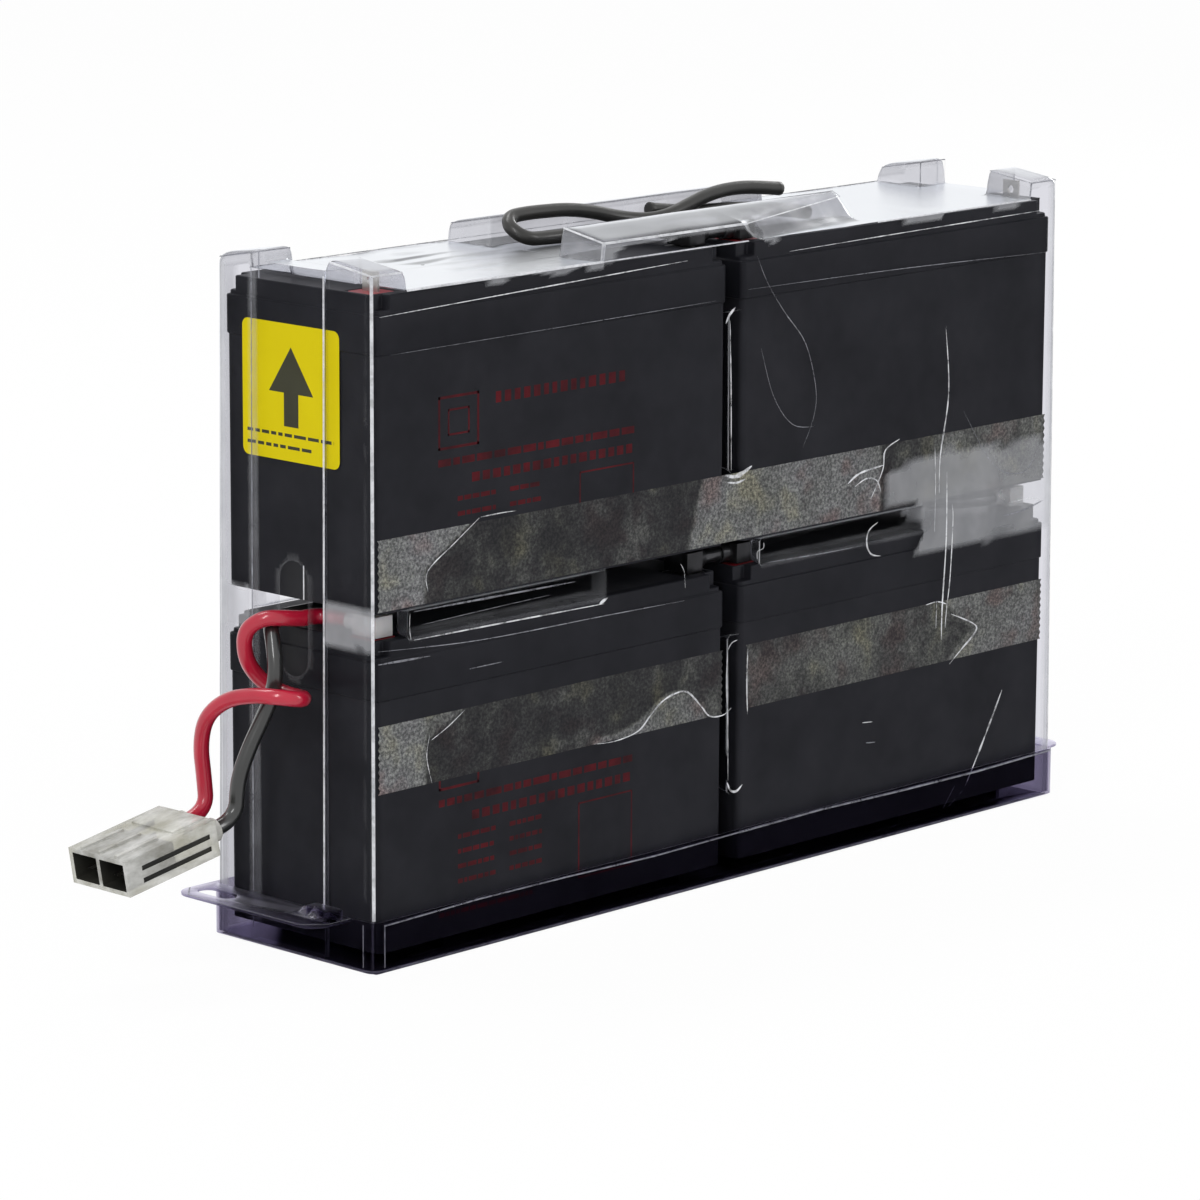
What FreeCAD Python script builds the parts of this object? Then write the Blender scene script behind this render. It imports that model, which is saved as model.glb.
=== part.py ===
"""Rechargeable battery cartridge for an uninterruptible power supply.

Four sealed 12 V batteries stand two wide and two high in a formed film tray, under a
clear formed film cover.  A red and a black lead come out of a slot in the near end and
carry a two-pole connector.

Frame: the origin is the middle of the pack's underside.  +X runs along the pack away from
the leads, -Y is the front long face, +Z is up.  All sizes are in millimetres.
"""
import FreeCAD, Part
import math
import os

import Sketcher
from FreeCAD import Placement, Rotation, Vector

doc = FreeCAD.newDocument("battery_cartridge")

# ---------------------------------------------------------------- driving dimensions
SIZES = [
    ("battery_length", 151.0, "one battery, long side"),
    ("battery_width", 65.0, "one battery, short side"),
    ("battery_height", 94.0, "one battery, underside to lid top"),
    ("battery_gap", 7.0, "gap between the left and right batteries"),
    ("battery_corner", 2.0, "upright corner radius of case and lid"),
    ("row_gap", 8.7, "lower lid top to upper underside"),
    ("lid_height", 17.6, "lid seam to lid top"),
    ("case_inset", 0.4, "case wall behind the lid's skirt"),
    ("tier_height", 5.8, "upper tier of the lid"),
    ("tier_inset", 0.8, "upper tier behind the skirt"),
    ("notch_length", 6.0, "corner notch of the lid, along X"),
    ("notch_width", 4.0, "corner notch of the lid, along Y"),
    ("notch_height", 4.5, "corner notch of the lid, depth"),
    ("recess_depth", 1.2, "terminal wells and vent recess in the lid"),
    ("well_side", 11.0, "terminal well, square"),
    ("seal_side", 10.0, "coloured terminal seal, square"),
    ("seal_thickness", 1.0, "coloured terminal seal"),
    ("terminal_end", 8.0, "terminal axis from the battery's short end"),
    ("terminal_side", 10.5, "terminal axis from the battery's front face"),
    ("tab_width", 6.35, "blade terminal, along Y"),
    ("tab_thickness", 0.8, "blade terminal, along X"),
    ("tab_height", 6.0, "blade terminal above the lid"),
    ("tab_hole", 2.6, "hole in the blade terminal"),
    ("vent_length", 112.0, "vent cover plate, along X"),
    ("vent_width", 15.0, "vent cover plate, along Y"),
    ("vent_offset", 8.0, "vent cover plate's middle behind the battery's middle"),
    ("vent_clearance", 0.3, "round the vent cover plate"),
    ("boot_length", 7.0, "terminal boot, along X"),
    ("boot_width", 10.0, "terminal boot, along Y"),
    ("boot_height", 6.3, "terminal boot"),
    ("boot_wall", 1.1, "terminal boot's wall"),
    ("boot_lift", 0.2, "terminal boot above the lid"),
    ("boot_play", 0.1, "blade terminal's top to the boot"),
    ("barrel_length", 4.0, "wire barrel of a terminal boot"),
    ("barrel_diameter", 6.2, "wire barrel of a terminal boot"),
    ("film", 0.6, "cover's film thickness"),
    ("side_clearance", 0.2, "battery side to cover at the top"),
    ("channel_clearance", 0.3, "battery end to the cover's end channel"),
    ("column_clearance", 2.1, "battery end to the cover's corner columns"),
    ("top_clearance", 0.2, "upper lid to cover"),
    ("draft", 1.3, "how far each cover wall leans out from top to foot"),
    ("cover_corner", 2.5, "upright corner radius of the cover"),
    ("channel_front", 13.0, "end channel's front side from the middle"),
    ("channel_back", 18.0, "end channel's back side from the middle"),
    ("horn_length", 14.0, "corner horn, along X"),
    ("horn_width", 19.0, "corner horn, along Y"),
    ("horn_low", 5.9, "horn roof above the cover's top, outer side"),
    ("horn_high", 8.6, "horn roof above the cover's top, inner side"),
    ("box_width", 18.3, "centre boxes, along Y"),
    ("box_left", 60.0, "centre boxes, reach towards the leads"),
    ("box_right", 65.0, "centre boxes, reach away from the leads"),
    ("box_low", 5.9, "box roof above the cover's top, outer side"),
    ("box_high", 9.3, "box roof above the cover's top, inner side"),
    ("ridge_depth", 10.0, "ridge between the near horns, along X"),
    ("ridge_height", 4.8, "ridge above the cover's top"),
    ("shelf_depth", 4.9, "row shelves, reach inside the battery face"),
    ("shelf_start", 11.5, "left row shelf from the pack's end"),
    ("shelf_length", 84.0, "left row shelf"),
    ("right_shelf_start", 12.0, "right row shelf from the middle"),
    ("right_shelf_length", 78.0, "right row shelf"),
    ("rib_width", 5.5, "upright ribs between the batteries, outside"),
    ("rib_foot", 23.5, "upright rib's foot above its battery's underside"),
    ("rib_height", 49.5, "upright rib"),
    ("slot_width", 12.0, "cable slot in the near end"),
    ("slot_middle", 2.2, "cable slot's middle, along Y"),
    ("slot_drop", 14.7, "cable slot's foot below the lower lids' top"),
    ("slot_height", 35.0, "cable slot, with its round ends"),
    ("loop_hole", -14.0, "loop cable's hole in the front centre box, along X"),
    ("tail_hole", 52.0, "tail cable's hole, along X"),
    ("hole_rise", 2.8, "cable holes' middle above the cover's top"),
    ("hole_play", 0.2, "round each cable in its hole"),
    ("tray_film", 0.7, "tray's film thickness"),
    ("tray_height", 15.5, "tray's rim above the floor"),
    ("tray_clearance", 0.15, "cover's foot to tray wall"),
    ("tray_rise", 4.7, "lower batteries above the floor"),
    ("bridge_width", 14.0, "floor bridge, along X"),
    ("bridge_pitch", 52.0, "floor bridges, spacing under one battery"),
    ("bridge_half_length", 29.0, "floor bridge, half its length along Y"),
    ("near_flange", 15.7, "tray flange at the leads' end"),
    ("near_flange_front", 26.0, "near flange's front end from the middle"),
    ("far_flange", 7.5, "tray flange at the other end"),
    ("far_flange_half", 33.0, "far flange, half its length"),
    ("flange_corner", 6.0, "corner radius of the flanges"),
    ("latch_length", 5.0, "latch bump on the near flange, along X"),
    ("latch_width", 12.0, "latch bump, along Y"),
    ("latch_height", 3.0, "latch bump"),
    ("latch_gap", 2.0, "latch bump to the pan's wall"),
    ("latch_middle", 19.0, "latch bump's middle in front of the pack's middle"),
    ("dimple_length", 15.0, "oval dimple of the near flange, along Y"),
    ("dimple_width", 6.0, "oval dimple, along X"),
    ("dimple_middle", 24.0, "oval dimple's middle behind the pack's middle"),
    ("tape_thickness", 0.15, "tape"),
    ("upper_tape_foot", 0.6, "upper tape above the upper underside"),
    ("upper_tape_width", 21.5, "upper tape"),
    ("lower_tape_drop", 27.9, "lower tapes' foot below the lid seam"),
    ("lower_tape_width", 20.5, "lower tapes"),
    ("right_tape_start", 3.0, "right lower tape from its case's near edge"),
    ("label_thickness", 0.12, "direction label"),
    ("label_width", 41.5, "direction label, along Y"),
    ("label_height", 41.0, "direction label"),
    ("label_middle", 3.8, "direction label's middle, along Y"),
    ("label_drop", 35.3, "direction label's foot below the lid seam"),
    ("lead_diameter", 4.8, "leads over their insulation"),
    ("cable_diameter", 4.4, "cables on the top"),
    ("housing_length", 36.0, "connector housing"),
    ("housing_width", 25.0, "connector housing, across both poles"),
    ("housing_height", 11.2, "connector housing"),
    ("housing_wall", 1.4, "connector housing's wall"),
    ("housing_depth", 20.0, "connector's two cavities, from the mouth"),
    ("pole_pitch", 13.0, "between the connector's two poles"),
    ("socket_length", 4.0, "wire socket behind the housing"),
    ("socket_diameter", 7.4, "wire socket"),
    ("rib_rise", 0.7, "ribs and pad on the housing's top"),
    ("top_rib_length", 17.0, "ribs on the housing's top"),
    ("top_rib_width", 1.6, "ribs on the housing's top"),
    ("pad_length", 14.0, "pad on the housing's top"),
    ("pad_inset", 3.5, "pad from the housing's sides"),
    ("groove_depth", 0.7, "side grooves"),
    ("groove_height", 1.5, "side grooves"),
    ("groove_front", 6.0, "side grooves from the mouth"),
    ("groove_rear", 3.0, "side grooves from the rear"),
    ("catch_start", 10.0, "catches under the housing, from its rear"),
    ("catch_length", 6.0, "catches under the housing, along X"),
    ("catch_width", 4.0, "catches under the housing, along Y"),
    ("catch_drop", 1.2, "catches below the housing"),
    ("blade_width", 7.0, "connector's contact blade"),
    ("blade_thickness", 1.0, "connector's contact blade"),
    ("blade_reach", 12.0, "contact blade in its cavity"),
    ("housing_pitch", 10.0, "connector's nose below level, in degrees"),
]

# ------------------------------------------------- places worked out from those sizes
PLACES = [
    ("pack_end", "size.battery_gap / 2 + size.battery_length"),
    ("pack_side", "size.battery_width / 2"),
    ("right_middle", "(size.battery_gap + size.battery_length) / 2"),
    ("left_middle", "-right_middle"),
    ("lower_floor", "size.tray_rise + 0"),
    ("lower_top", "lower_floor + size.battery_height"),
    ("upper_floor", "lower_top + size.row_gap"),
    ("upper_top", "upper_floor + size.battery_height"),
    ("seam", "size.battery_height - size.lid_height"),
    ("tier_foot", "size.battery_height - size.tier_height"),
    ("terminal_x", "size.battery_length / 2 - size.terminal_end"),
    ("terminal_y", "size.terminal_side - size.battery_width / 2"),
    ("seal_top", "size.battery_height - size.recess_depth + size.seal_thickness"),
    ("boot_foot", "size.battery_height + size.boot_lift"),
    ("boot_top", "boot_foot + size.boot_height"),
    ("barrel_z", "boot_foot + size.boot_height / 2"),
    ("barrel_reach", "size.boot_length / 2 + size.barrel_length"),
    ("cover_side", "pack_side + size.side_clearance + size.film"),
    ("cover_end", "pack_end + size.column_clearance + size.film"),
    ("channel_end", "pack_end + size.channel_clearance + size.film"),
    ("cover_foot", "size.tray_film + 0"),
    ("cover_top", "upper_top + size.top_clearance + size.film"),
    ("shelf_floor", "pack_side - size.shelf_depth"),
    ("tray_side", "cover_side + size.draft + size.tray_clearance + size.tray_film"),
    ("tray_end", "cover_end + size.draft + size.tray_clearance + size.tray_film"),
    ("tray_corner", "size.cover_corner + size.tray_clearance + size.tray_film"),
    ("case_front", "size.case_inset - pack_side"),
    ("socket_y", "size.pole_pitch / 2"),
]


# ---------------------------------------------------------------- values no size drives
PAST = 1.0  # how far a cutting tool or a root runs past the face it meets
FORM_ROOT = 8.0  # how far below the cover's top its raised forms start
FLANGE_ROOT = 8.0  # how far a tray flange starts inside the pan
FULL_HEIGHT = 0.95  # share of a block's height that makes an edge one of its uprights
BEND_SHARE = 0.45  # share of the shorter run that a cord's bend takes up
BLADE_CORNER = 1.2
LATCH_CORNER = 1.5
VENT_CORNER = 2.5
SEAL_CORNER = 1.0
HOUSING_PLACE = Vector(-185.5, 11.5, 42.0)
HOUSING_RIBS = (-7.5, 0.0, 7.5)  # middles of the ribs on the housing's top, along Y
HOUSING_GROOVES = (-2.4, 1.4)  # middles of the grooves in its sides, along Z

RED_EXIT_Y = -1.2
RED_TURN = 5.5  # how far inside the near end the red lead turns to its boot
RED_APPROACH = 6.0  # its straight run up to that boot
BLACK_EXIT_Y = 5.2
# The black lead between the rows, as X and Y, and then its approach to its boot, as how
# far short of the boot and how far behind it.
BLACK_INSIDE = [(-134.8, 5.2), (-96.5, 11.0), (-40.0, 12.0), (20.0, 12.5), (72.0, 8.0)]
BLACK_APPROACH = [(30.0, 22.0), (14.0, 3.0), (6.0, 0.0), (0.0, 0.0)]

# Each free cord's route, from where it leaves the pack to its far end.
RED_LEAD = [
    (-155.4, -1.2, 102.05), (-163.5, -1.2, 102.05), (-168.0, 2.8, 104.5), (-170.0, 8.2, 99.0),
    (-168.5, 9.5, 90.5), (-165.0, 7.5, 84.0), (-161.2, 3.0, 80.2), (-160.8, -3.5, 79.8),
    (-162.6, -10.2, 80.4), (-168.4, -13.8, 81.6), (-173.8, -10.4, 82.6), (-176.2, -2.8, 82.4),
    (-178.8, 6.5, 80.2), (-180.2, 14.2, 73.8), (-179.0, 18.0, 64.5), (-176.6, 19.2, 54.5),
    (-176.637, 18.0, 43.563), (-185.5, 18.0, 42.0),
]
BLACK_LEAD = [
    (-155.4, 5.2, 102.05), (-162.5, 5.2, 102.05), (-165.0, 0.8, 95.5), (-166.2, -1.5, 88.0),
    (-167.0, -0.8, 80.5), (-169.8, 1.0, 73.0), (-173.6, 2.6, 65.0), (-177.0, 4.0, 55.5),
    (-176.637, 5.0, 43.563), (-185.5, 5.0, 42.0),
]
TOP_LOOP = [
    (-14.0, -16.0, 205.0), (-14.0, -9.5, 205.0), (-21.0, -4.0, 204.7), (-32.0, -0.5, 204.7),
    (-42.0, 2.0, 204.7), (-48.5, 3.2, 204.7), (-55.0, 3.8, 204.9), (-58.1, 8.1, 207.9),
    (-55.0, 12.3, 210.8), (-47.5, 12.5, 211.3), (-38.5, 12.2, 211.2), (-29.0, 12.4, 210.8),
    (-18.0, 12.2, 209.2),
    (-8.0, 11.0, 206.6), (2.0, 8.5, 204.9), (11.0, 6.5, 205.6), (20.0, 6.5, 208.0),
    (30.0, 7.5, 210.3), (41.0, 8.5, 211.2), (53.0, 8.8, 210.8), (66.0, 8.5, 209.0),
]
TOP_TAIL = [
    (52.0, -16.0, 205.0), (52.0, -9.5, 205.0), (47.5, -2.0, 205.2), (40.0, 4.5, 205.4),
    (31.0, 8.6, 205.2), (20.0, 11.5, 205.6), (8.5, 12.5, 207.4),
]


def fill_sheet(name, rows):
    """Make a spreadsheet with one aliased cell for each row."""
    sheet = doc.addObject("Spreadsheet::Sheet", name)
    for number, (alias, content, note) in enumerate(rows, start=1):
        sheet.set(f"A{number}", note)
        sheet.set(f"B{number}", content)
        sheet.setAlias(f"B{number}", alias)
    doc.recompute()
    return sheet


size = fill_sheet("size", [(alias, str(value), note) for alias, value, note in SIZES])
at = fill_sheet("at", [(alias, "=" + formula, formula) for alias, formula in PLACES])

nodes = []


def keep(thing, name, place=None):
    """Name a finished sub-part, put it at its place and keep it as a node."""
    thing.Label = name
    if place:
        for axis, text in zip("xyz", place):
            thing.setExpression(f"Placement.Base.{axis}", text)
    nodes.append(thing)
    return thing


# ---------------------------------------------------------------- shapes used often
def block(name, x, y, z):
    """A box; x, y and z are each a pair of expressions, low and high."""
    box = doc.addObject("Part::Box", name)
    for side, axis, (low, high) in zip(("Length", "Width", "Height"), "xyz", (x, y, z)):
        box.setExpression(side, f"({high}) - ({low})")
        box.setExpression(f"Placement.Base.{axis}", low)
    return box


def rod(name, start, radius, length, way):
    """A cylinder from start (three expressions) along a direction vector."""
    cylinder = doc.addObject("Part::Cylinder", name)
    cylinder.Placement = Placement(Vector(), Rotation(Vector(0, 0, 1), way))
    cylinder.setExpression("Radius", radius)
    cylinder.setExpression("Height", length)
    for axis, text in zip("xyz", start):
        cylinder.setExpression(f"Placement.Base.{axis}", text)
    return cylinder


def both(half):
    """The span from minus half to plus half."""
    return f"-({half})", f"{half}"


def about(middle, full):
    """The span of a full width about its middle."""
    return f"({middle}) - ({full}) / 2", f"({middle}) + ({full}) / 2"


def mirrored(span, sign):
    """The span itself, or its mirror image when sign is a minus."""
    return (f"-({span[1]})", f"-({span[0]})") if sign else span


def fuse(name, shapes):
    joined = doc.addObject("Part::MultiFuse", name)
    joined.Shapes = shapes
    return joined


def cut(name, base, tool):
    result = doc.addObject("Part::Cut", name)
    result.Base = base
    result.Tool = tool
    return result


def round_uprights(name, base, radius):
    """Round the four upright corner edges of a box-like shape."""
    doc.recompute()
    upright = []
    for number, edge in enumerate(base.Shape.Edges, start=1):
        low = edge.BoundBox.ZMin
        high = edge.BoundBox.ZMax
        if high - low > FULL_HEIGHT * base.Shape.BoundBox.ZLength:
            upright.append((number, radius, radius))
    fillet = doc.addObject("Part::Fillet", name)
    fillet.Base = base
    fillet.Edges = upright
    return fillet


def leaning_block(name, half_x, half_y, z, lean):
    """A block about the Z axis whose four walls lean out by lean from top to foot."""
    wedge = doc.addObject("Part::Wedge", name)
    wedge.Placement = Placement(Vector(), Rotation(Vector(1, 0, 0), 90))
    for end, grown in (("", f" + {lean}"), ("2", "")):
        wedge.setExpression(f"X{end}min", f"-({half_x}{grown})")
        wedge.setExpression(f"X{end}max", f"{half_x}{grown}")
        wedge.setExpression(f"Z{end}min", f"-({half_y}{grown})")
        wedge.setExpression(f"Z{end}max", f"{half_y}{grown}")
    wedge.setExpression("Ymin", z[0])
    wedge.setExpression("Ymax", z[1])
    return wedge


def roofed_block(name, x, y, foot, roofs):
    """A block whose roof slopes along Y, from roofs[0] at y[0] to roofs[1] at y[1]."""
    wedge = doc.addObject("Part::Wedge", name)
    for end, roof in (("", roofs[0]), ("2", roofs[1])):
        wedge.setExpression(f"X{end}min", x[0])
        wedge.setExpression(f"X{end}max", x[1])
        wedge.setExpression(f"Z{end}min", foot)
        wedge.setExpression(f"Z{end}max", roof)
    wedge.setExpression("Ymin", y[0])
    wedge.setExpression("Ymax", y[1])
    return wedge


def rounded_outline(sketch, half_x, half_y, corner):
    """Draw and constrain a rounded rectangle about the sketch's origin."""
    reach_x, reach_y, bend = 60.0, 30.0, 2.0
    corners = [(1, 1, 0), (-1, 1, 90), (-1, -1, 180), (1, -1, 270)]
    for sx, sy, start in corners:
        centre = Vector(sx * (reach_x - bend), sy * (reach_y - bend), 0)
        circle = Part.Circle(centre, Vector(0, 0, 1), bend)
        sketch.addGeometry(Part.ArcOfCircle(circle, math.radians(start), math.radians(start + 90)))
    for number in range(4):
        last = sketch.Geometry[number].EndPoint
        first = sketch.Geometry[(number + 1) % 4].StartPoint
        sketch.addGeometry(Part.LineSegment(last, first))
        sketch.addConstraint(Sketcher.Constraint("Tangent", number, 2, 4 + number, 1))
    for number in range(4):
        sketch.addConstraint(Sketcher.Constraint("Tangent", 4 + number, 2, (number + 1) % 4, 1))
        if number:
            sketch.addConstraint(Sketcher.Constraint("Equal", 0, number))
    for line, way in ((4, "Horizontal"), (5, "Vertical"), (6, "Horizontal"), (7, "Vertical")):
        sketch.addConstraint(Sketcher.Constraint(way, line))
    sides = [("DistanceX", 7, "right", 1, half_x), ("DistanceX", 5, "left", -1, half_x),
             ("DistanceY", 4, "back", 1, half_y), ("DistanceY", 6, "front", -1, half_y)]
    for kind, line, side, sign, text in sides:
        reach = reach_x if kind == "DistanceX" else reach_y
        number = sketch.addConstraint(Sketcher.Constraint(kind, -1, 1, line, 1, sign * reach))
        sketch.renameConstraint(number, side)
        sketch.setExpression(f"Constraints.{side}", text if sign > 0 else f"-({text})")
    number = sketch.addConstraint(Sketcher.Constraint("Radius", 0, bend))
    sketch.renameConstraint(number, "corner")
    sketch.setExpression("Constraints.corner", corner)


def padded_body(name, tiers):
    """A PartDesign body of rounded pads; each tier is half X, half Y, corner, foot, top."""
    body = doc.addObject("PartDesign::Body", name)
    ground = next(plane for plane in body.Origin.OriginFeatures if plane.Role == "XY_Plane")
    for number, (half_x, half_y, corner, foot, top) in enumerate(tiers, start=1):
        sketch = body.newObject("Sketcher::SketchObject", f"{name}_outline_{number}")
        sketch.AttachmentSupport = [(ground, "")]
        sketch.MapMode = "FlatFace"
        sketch.setExpression("AttachmentOffset.Base.z", foot)
        rounded_outline(sketch, half_x, half_y, corner)
        pad = body.newObject("PartDesign::Pad", f"{name}_pad_{number}")
        pad.Profile = sketch
        pad.setExpression("Length", f"({top}) - ({foot})")
        doc.recompute()
    return body


def tube(points, diameter):
    """A round cord along straight runs joined by arcs; prints its length and bends."""
    corners = [Vector(*point) for point in points]
    start = corners[0]
    edges = []
    radii = []
    for before, corner, after in zip(corners, corners[1:], corners[2:]):
        into = corner - before
        out = after - corner
        half_turn = into.getAngle(out) / 2
        inset = BEND_SHARE * min(into.Length, out.Length)
        radii.append(inset / math.tan(half_turn))
        into.normalize()
        out.normalize()
        arc_start = corner - into * inset
        arc_end = corner + out * inset
        bisector = (out - into).normalize()
        sagitta = radii[-1] / math.cos(half_turn) - radii[-1]
        edges.append(Part.LineSegment(start, arc_start).toShape())
        edges.append(Part.Arc(arc_start, corner + bisector * sagitta, arc_end).toShape())
        start = arc_end
    edges.append(Part.LineSegment(start, corners[-1]).toShape())
    path = Part.Wire(edges)
    ring = Part.Circle(corners[0], corners[1] - corners[0], diameter / 2)
    pipe = path.makePipeShell([Part.Wire(ring.toShape())], True, False)
    expected = math.pi * diameter ** 2 / 4 * path.Length
    print(f"  length {path.Length:.1f}  bends {min(radii):.1f} to {max(radii):.1f}"
          f"  volume {pipe.Volume / expected:.4f} of section times length")
    return pipe


def cord(name, points, diameter):
    print(name)
    feature = doc.addObject("Part::Feature", name)
    feature.Shape = tube(points, diameter)
    return keep(feature, name)


# ---------------------------------------------------------------- one battery
POLES = (("positive", "-"), ("negative", ""))


def make_case(name, place):
    """The moulded case; sealed for life, so it is solid with its plates inside."""
    half_x = "size.battery_length / 2 - size.case_inset"
    half_y = "size.battery_width / 2 - size.case_inset"
    body = padded_body(f"{name}_body", [(half_x, half_y, "size.battery_corner", "0", "at.seam")])
    keep(body, f"{name}_case", place)


def make_lid(name, place):
    """The lid: a skirt and a narrower tier, with terminal wells, a vent recess and notches."""
    half_x = "size.battery_length / 2"
    half_y = "size.battery_width / 2"
    top = "size.battery_height"
    tiers = [
        (half_x, half_y, "size.battery_corner", "at.seam", "at.tier_foot"),
        (f"{half_x} - size.tier_inset", f"{half_y} - size.tier_inset", "size.battery_corner",
         "at.tier_foot", top),
    ]
    recess = (f"{top} - size.recess_depth", f"{top} + {PAST}")
    notch = (f"{top} - size.notch_height", f"{top} + {PAST}")
    tools = [block(f"{name}_vent_recess", both("size.vent_length / 2 + size.vent_clearance"),
                   about("size.vent_offset", "size.vent_width + 2 * size.vent_clearance"), recess)]
    for pole, sign in POLES:
        tools.append(block(f"{name}_{pole}_well", about(f"{sign}at.terminal_x", "size.well_side"),
                           about("at.terminal_y", "size.well_side"), recess))
        x = mirrored((f"{half_x} - size.notch_length", f"{half_x} + {PAST}"), sign)
        for face, face_sign in (("front", "-"), ("back", "")):
            y = mirrored((f"{half_y} - size.notch_width", f"{half_y} + {PAST}"), face_sign)
            tools.append(block(f"{name}_{pole}_{face}_notch", x, y, notch))
    lid = cut(f"{name}_lid_cut", padded_body(f"{name}_lid_blank", tiers),
              fuse(f"{name}_lid_tools", tools))
    keep(lid, f"{name}_lid", place)


def make_vent_cover(name, place):
    plate = block(f"{name}_vent_plate", both("size.vent_length / 2"),
                  about("size.vent_offset", "size.vent_width"),
                  ("size.battery_height - size.recess_depth", "size.battery_height"))
    keep(round_uprights(f"{name}_vent", plate, VENT_CORNER), f"{name}_vent_cover", place)


def make_terminal(name, place, pole, sign):
    """A coloured seal in its well, and the blade terminal that stands on it."""
    x = f"{sign}at.terminal_x"
    pad = block(f"{name}_{pole}_pad", about(x, "size.seal_side"),
                about("at.terminal_y", "size.seal_side"),
                ("size.battery_height - size.recess_depth", "at.seal_top"))
    keep(round_uprights(f"{name}_{pole}_rounded", pad, SEAL_CORNER), f"{name}_{pole}_seal", place)
    blade = block(f"{name}_{pole}_blade", about(x, "size.tab_thickness"),
                  about("at.terminal_y", "size.tab_width"),
                  ("at.seal_top", "size.battery_height + size.tab_height"))
    hole = rod(f"{name}_{pole}_hole", (f"{x} - size.tab_thickness / 2 - {PAST}", "at.terminal_y",
                                       "size.battery_height + size.tab_height / 2"),
               "size.tab_hole / 2", f"size.tab_thickness + {2 * PAST}", Vector(1, 0, 0))
    keep(cut(f"{name}_{pole}_drilled", blade, hole), f"{name}_{pole}_tab", place)


def make_battery(name, x, floor):
    place = (x, "0", floor)
    make_case(name, place)
    make_lid(name, place)
    make_vent_cover(name, place)
    for pole, sign in POLES:
        make_terminal(name, place, pole, sign)


# ---------------------------------------------------------------- terminal boots and wires
def make_boot(name, x, floor, barrel):
    """An insulating boot over a blade terminal; barrel is the way its wire leaves."""
    body = block(f"{name}_body", both("size.boot_length / 2"), both("size.boot_width / 2"),
                 ("at.boot_foot", "at.boot_top"))
    way = {"x": Vector(1, 0, 0), "-x": Vector(-1, 0, 0), "y": Vector(0, 1, 0)}[barrel]
    reach = "size.boot_width / 2 + size.barrel_length" if barrel == "y" else "at.barrel_reach"
    sleeve = rod(f"{name}_sleeve", ("0", "0", "at.barrel_z"), "size.barrel_diameter / 2", reach, way)
    ceiling = "size.battery_height + size.tab_height + size.boot_play"
    hollow = block(f"{name}_hollow", both("size.boot_length / 2 - size.boot_wall"),
                   both("size.boot_width / 2 - size.boot_wall"),
                   (f"at.boot_foot - {PAST}", ceiling))
    boot = cut(f"{name}_cut", fuse(f"{name}_solid", [body, sleeve]), hollow)
    keep(boot, name, (x, "at.terminal_y", floor))


def make_link(name, row):
    """A short wire between the two inner terminal boots of one row."""
    reach = size.get("battery_gap") / 2 + size.get("terminal_end") - at.get("barrel_reach")
    height = at.get(f"{row}_floor") + at.get("barrel_z")
    start = Vector(-reach, at.get("terminal_y"), height)
    link = doc.addObject("Part::Feature", f"{name}_wire")
    link.Shape = Part.makeCylinder(size.get("lead_diameter") / 2, 2 * reach, start, Vector(1, 0, 0))
    keep(link, name)


def make_inner_wires():
    """The leads' stretches inside the pack, held in the gap between the two rows."""
    lead = size.get("lead_diameter")
    wire_z = at.get("lower_floor") + at.get("barrel_z")
    wall_x = -at.get("channel_end")
    terminal_y = at.get("terminal_y")
    left_x = size.get("terminal_end") - at.get("pack_end")
    right_x = -left_x - at.get("barrel_reach")
    boot_y = terminal_y + size.get("boot_width") / 2 + size.get("barrel_length")
    cord("red_lead_inside", [
        (wall_x, RED_EXIT_Y, wire_z), (wall_x + RED_TURN, RED_EXIT_Y, wire_z),
        (left_x, boot_y + RED_APPROACH, wire_z), (left_x, boot_y, wire_z),
    ], lead)
    route = [(wall_x, BLACK_EXIT_Y)] + BLACK_INSIDE
    route += [(right_x - short, terminal_y + behind) for short, behind in BLACK_APPROACH]
    cord("black_lead_inside", [(x, y, wire_z) for x, y in route], lead)


# ---------------------------------------------------------------- the film cover
def cover_forms(name, skin):
    """The cover's outer form; with skin set to the film, the space inside it."""
    top = f"at.cover_top - {skin}"
    foot = "at.cover_foot" if skin == "0" else f"at.cover_foot - {PAST}"
    main = leaning_block(f"{name}_main", f"(at.cover_end - {skin})", f"(at.cover_side - {skin})",
                         (foot, top), "size.draft")
    corner = size.get("cover_corner") - (size.get("film") if skin == "size.film" else 0)
    forms = [round_uprights(f"{name}_rounded", main, corner)]
    rooted = f"at.cover_top - {FORM_ROOT}"
    side = f"at.cover_side - {skin}"
    for end, sign in (("near", "-"), ("far", "")):
        x = mirrored((f"at.cover_end - size.horn_length + {skin}", f"at.cover_end - {skin}"), sign)
        inner = f"at.cover_side - size.horn_width + {skin}"
        low, high = f"{top} + size.horn_low", f"{top} + size.horn_high"
        forms.append(roofed_block(f"{name}_{end}_front_horn", x, (f"-({side})", f"-({inner})"),
                                  rooted, (low, high)))
        forms.append(roofed_block(f"{name}_{end}_back_horn", x, (inner, side), rooted,
                                  (high, low)))
    x = (f"{skin} - size.box_left", f"size.box_right - {skin}")
    inner = f"at.cover_side - size.box_width + {skin}"
    low, high = f"{top} + size.box_low", f"{top} + size.box_high"
    forms.append(roofed_block(f"{name}_front_box", x, (f"-({side})", f"-({inner})"), rooted,
                              (low, high)))
    forms.append(roofed_block(f"{name}_back_box", x, (inner, side), rooted, (high, low)))
    forms.append(block(f"{name}_ridge", (f"{skin} - at.channel_end",
                                         f"size.ridge_depth - at.channel_end - {skin}"),
                       both(f"at.cover_side - size.horn_width + {PAST}"),
                       (rooted, f"{top} + size.ridge_height")))
    return fuse(f"{name}_forms", forms)


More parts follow.
